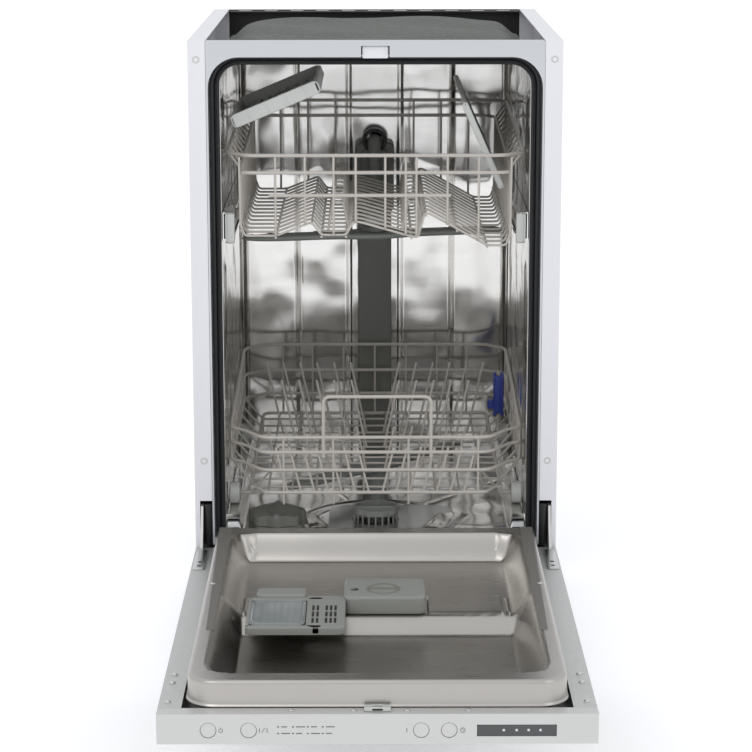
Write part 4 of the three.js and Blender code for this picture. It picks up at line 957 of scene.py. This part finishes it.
def build_rollers():
    """Four rollers, each with rim, hub and web."""
    for end in ("front", "rear"):
        for side, sign in (("left", -1), ("right", 1)):
            node = f"roller_{end}_{side}"
            low, high = node_box(node)
            centre = np.array([low[0] if sign > 0 else high[0], (low[1] + high[1]) / 2,
                               (low[2] + high[2]) / 2])
            rim = np.array([(11, 1), (12.8, 0.4), (14, 1.4), (14, 12.6), (12.8, 13.6), (11, 13), (11, 1)])
            hub = np.array([(3, 0.6), (5.4, 0.6), (5.4, 13.4), (3, 13.4), (3, 0.6)])
            web = np.array([(5, 5.5), (11.4, 5.5), (11.4, 8.5), (5, 8.5), (5, 5.5)])
            parts = [lathe(profile * np.array([1, sign]), centre, "x", 36) for profile in (rim, hub, web)]
            place(node + "_wheel", parts, "moulded_light_pp", node + "_body", (node,))


# --- Stage ---

def aim(thing, target):
    """Turns a light or camera at its place so that it looks at target."""
    thing.rotation_euler = (Vector(target) - thing.location).to_track_quat("-Z", "Y").to_euler()


def build_stage(sizes):
    """Floor, soft lights, sky and camera."""
    mesh = bpy.data.meshes.new("studio_floor")
    corners = ((-1, -1), (1, -1), (1, 1), (-1, 1))
    mesh.from_pydata([(x * FLOOR_HALF, y * FLOOR_HALF, FLOOR_Z) for x, y in corners], [], [(0, 1, 2, 3)])
    mesh.materials.append(MATERIALS["pale_studio_floor"])
    floor = bpy.data.objects.new("studio_floor", mesh)
    bpy.context.scene.collection.objects.link(floor)
    world = bpy.data.worlds.new("studio_sky")
    world.use_nodes = True
    world.node_tree.nodes["Background"].inputs[0].default_value = linear("#fbfcff")
    world.node_tree.nodes["Background"].inputs[1].default_value = sizes.sky_light
    bpy.context.scene.world = world
    lights = [("key_softbox", (-1.2, -2.8, 2.6), (0, 0.1, 0.45), 1.8, 1.8, 16),
              ("fill_softbox", (1.9, -2.2, 1.7), (0, 0, 0.4), 1.4, 1.8, 5)]
    for name, spot, target, width, height, power in lights:
        lamp = bpy.data.lights.new(name, "AREA")
        lamp.shape, lamp.size, lamp.size_y, lamp.energy = "RECTANGLE", width, height, power
        thing = bpy.data.objects.new(name, lamp)
        thing.location = spot
        bpy.context.scene.collection.objects.link(thing)
        aim(thing, target)
    camera_data = bpy.data.cameras.new("studio_camera")
    camera_data.sensor_width, camera_data.lens = SENSOR_WIDTH, LENS
    camera_data.clip_end = 50
    camera = bpy.data.objects.new("studio_camera", camera_data)
    camera.location = CAMERA_PLACE
    camera.rotation_euler = [np.radians(turn) for turn in CAMERA_TURN]
    bpy.context.scene.collection.objects.link(camera)
    bpy.context.scene.camera = camera
    bpy.context.scene.view_settings.view_transform = "Standard"


# --- Add-on ---

class DishwasherSizes(bpy.types.PropertyGroup):
    """Sizes and colours that can be changed before the surfaces are built."""
    rail_wire: bpy.props.FloatProperty(name="Rail wire", description="Diameter of the basket rails",
                                       default=0.0046, subtype="DISTANCE", unit="LENGTH")
    thin_wire: bpy.props.FloatProperty(name="Thin wire", description="Diameter of tines and floor wires",
                                       default=0.003, subtype="DISTANCE", unit="LENGTH")
    wire_colour: bpy.props.StringProperty(name="Wire colour", description="Basket coating, sRGB hex",
                                          default="#bdb8b0")
    panel_colour: bpy.props.StringProperty(name="Panel colour", description="Side panels, sRGB hex",
                                           default="#dedee2")
    liner_colour: bpy.props.StringProperty(name="Liner colour", description="Door liner, sRGB hex",
                                           default="#b3b0ab")
    fascia_colour: bpy.props.StringProperty(name="Fascia colour", description="Fascia paint, sRGB hex",
                                            default="#c6c6c4")
    plastic_colour: bpy.props.StringProperty(name="Plastic colour",
                                             description="Main grey plastic, sRGB hex", default="#7f827e")
    sky_light: bpy.props.FloatProperty(name="Sky light", description="Strength of the even light",
                                       default=0.95)


class DISHWASHER_OT_finishes(bpy.types.Operator):
    """Make every finish and give the frame's own nodes theirs"""
    bl_idname, bl_label = "dishwasher.finishes", "Finishes"

    def execute(self, context):
        make_finishes(context.scene.dishwasher_sizes)
        paint_frame()
        return {"FINISHED"}


class DISHWASHER_OT_stage(bpy.types.Operator):
    """Build the floor, the lights and the camera"""
    bl_idname, bl_label = "dishwasher.stage", "Stage"

    def execute(self, context):
        build_stage(context.scene.dishwasher_sizes)
        return {"FINISHED"}


class DISHWASHER_OT_shell(bpy.types.Operator):
    """Build the felt blanket, rear flange, hinge brackets, springs and caps"""
    bl_idname, bl_label = "dishwasher.shell", "Shell"

    def execute(self, context):
        build_felt()
        build_rear_flange()
        build_hinge_brackets()
        build_door_springs()
        build_catch_and_caps()
        return {"FINISHED"}


class DISHWASHER_OT_tub(bpy.types.Operator):
    """Build the tub, its floor and the door gasket"""
    bl_idname, bl_label = "dishwasher.tub", "Tub and gasket"

    def execute(self, context):
        build_tub_shell()
        build_tub_back()
        build_tub_floor()
        build_gasket()
        return {"FINISHED"}


class DISHWASHER_OT_water(bpy.types.Operator):
    """Build the feed duct, the filter, the salt cap and both spray arms"""
    bl_idname, bl_label = "dishwasher.water", "Water system"

    def execute(self, context):
        build_duct()
        build_filter()
        build_salt_cap()
        build_spray_arms()
        return {"FINISHED"}


class DISHWASHER_OT_door(bpy.types.Operator):
    """Build the door liner, its side strips, screws and latch"""
    bl_idname, bl_label = "dishwasher.door", "Door liner"

    def execute(self, context):
        build_liner()
        build_door_fittings()
        build_latch()
        return {"FINISHED"}


class DISHWASHER_OT_dispenser(bpy.types.Operator):
    """Build the detergent and rinse aid dispenser"""
    bl_idname, bl_label = "dishwasher.dispenser", "Dispenser"

    def execute(self, context):
        build_dispenser_housing()
        build_detergent_lid()
        build_rinse_cap()
        return {"FINISHED"}


class DISHWASHER_OT_controls(bpy.types.Operator):
    """Build the buttons, the display and the printed marks"""
    bl_idname, bl_label = "dishwasher.controls", "Controls"

    def execute(self, context):
        build_buttons()
        build_display()
        build_fascia_marks()
        return {"FINISHED"}


class DISHWASHER_OT_upper_rack(bpy.types.Operator):
    """Build the upper basket, its feed pipe and its shelves"""
    bl_idname, bl_label = "dishwasher.upper_rack", "Upper basket"

    def execute(self, context):
        build_upper_basket(context.scene.dishwasher_sizes)
        build_slide_caps()
        build_feed_pipe()
        shelf("cup_shelf_left", -179, 717, 22.8, 7)
        shelf("cup_shelf_right", 152, 628, 114, -2)
        return {"FINISHED"}


class DISHWASHER_OT_lower_rack(bpy.types.Operator):
    """Build the lower basket, its tines, rollers and clip"""
    bl_idname, bl_label = "dishwasher.lower_rack", "Lower basket"

    def execute(self, context):
        build_lower_basket(context.scene.dishwasher_sizes)
        build_folding_tines(context.scene.dishwasher_sizes)
        build_rack_clip()
        build_rollers()
        return {"FINISHED"}


STEPS = ("finishes", "stage", "shell", "tub", "water", "door", "dispenser", "controls", "upper_rack",
         "lower_rack")


class DISHWASHER_PT_panel(bpy.types.Panel):
    """Lists the build steps and the sizes"""
    bl_label, bl_idname = "Dishwasher", "DISHWASHER_PT_panel"
    bl_space_type, bl_region_type, bl_category = "VIEW_3D", "UI", "Dishwasher"

    def draw(self, context):
        for key in DishwasherSizes.__annotations__:
            self.layout.prop(context.scene.dishwasher_sizes, key)
        for step in STEPS:
            self.layout.operator("dishwasher." + step)


CLASSES = (DishwasherSizes, DISHWASHER_OT_finishes, DISHWASHER_OT_stage, DISHWASHER_OT_shell,
           DISHWASHER_OT_tub, DISHWASHER_OT_water, DISHWASHER_OT_door, DISHWASHER_OT_dispenser,
           DISHWASHER_OT_controls, DISHWASHER_OT_upper_rack, DISHWASHER_OT_lower_rack, DISHWASHER_PT_panel)


def register():
    for cls in CLASSES:
        bpy.utils.register_class(cls)
    bpy.types.Scene.dishwasher_sizes = bpy.props.PointerProperty(type=DishwasherSizes)


def unregister():
    del bpy.types.Scene.dishwasher_sizes
    for cls in reversed(CLASSES):
        bpy.utils.unregister_class(cls)


def main():
    register()
    for step in STEPS:
        getattr(bpy.ops.dishwasher, step)()


if __name__ == "__main__":
    main()
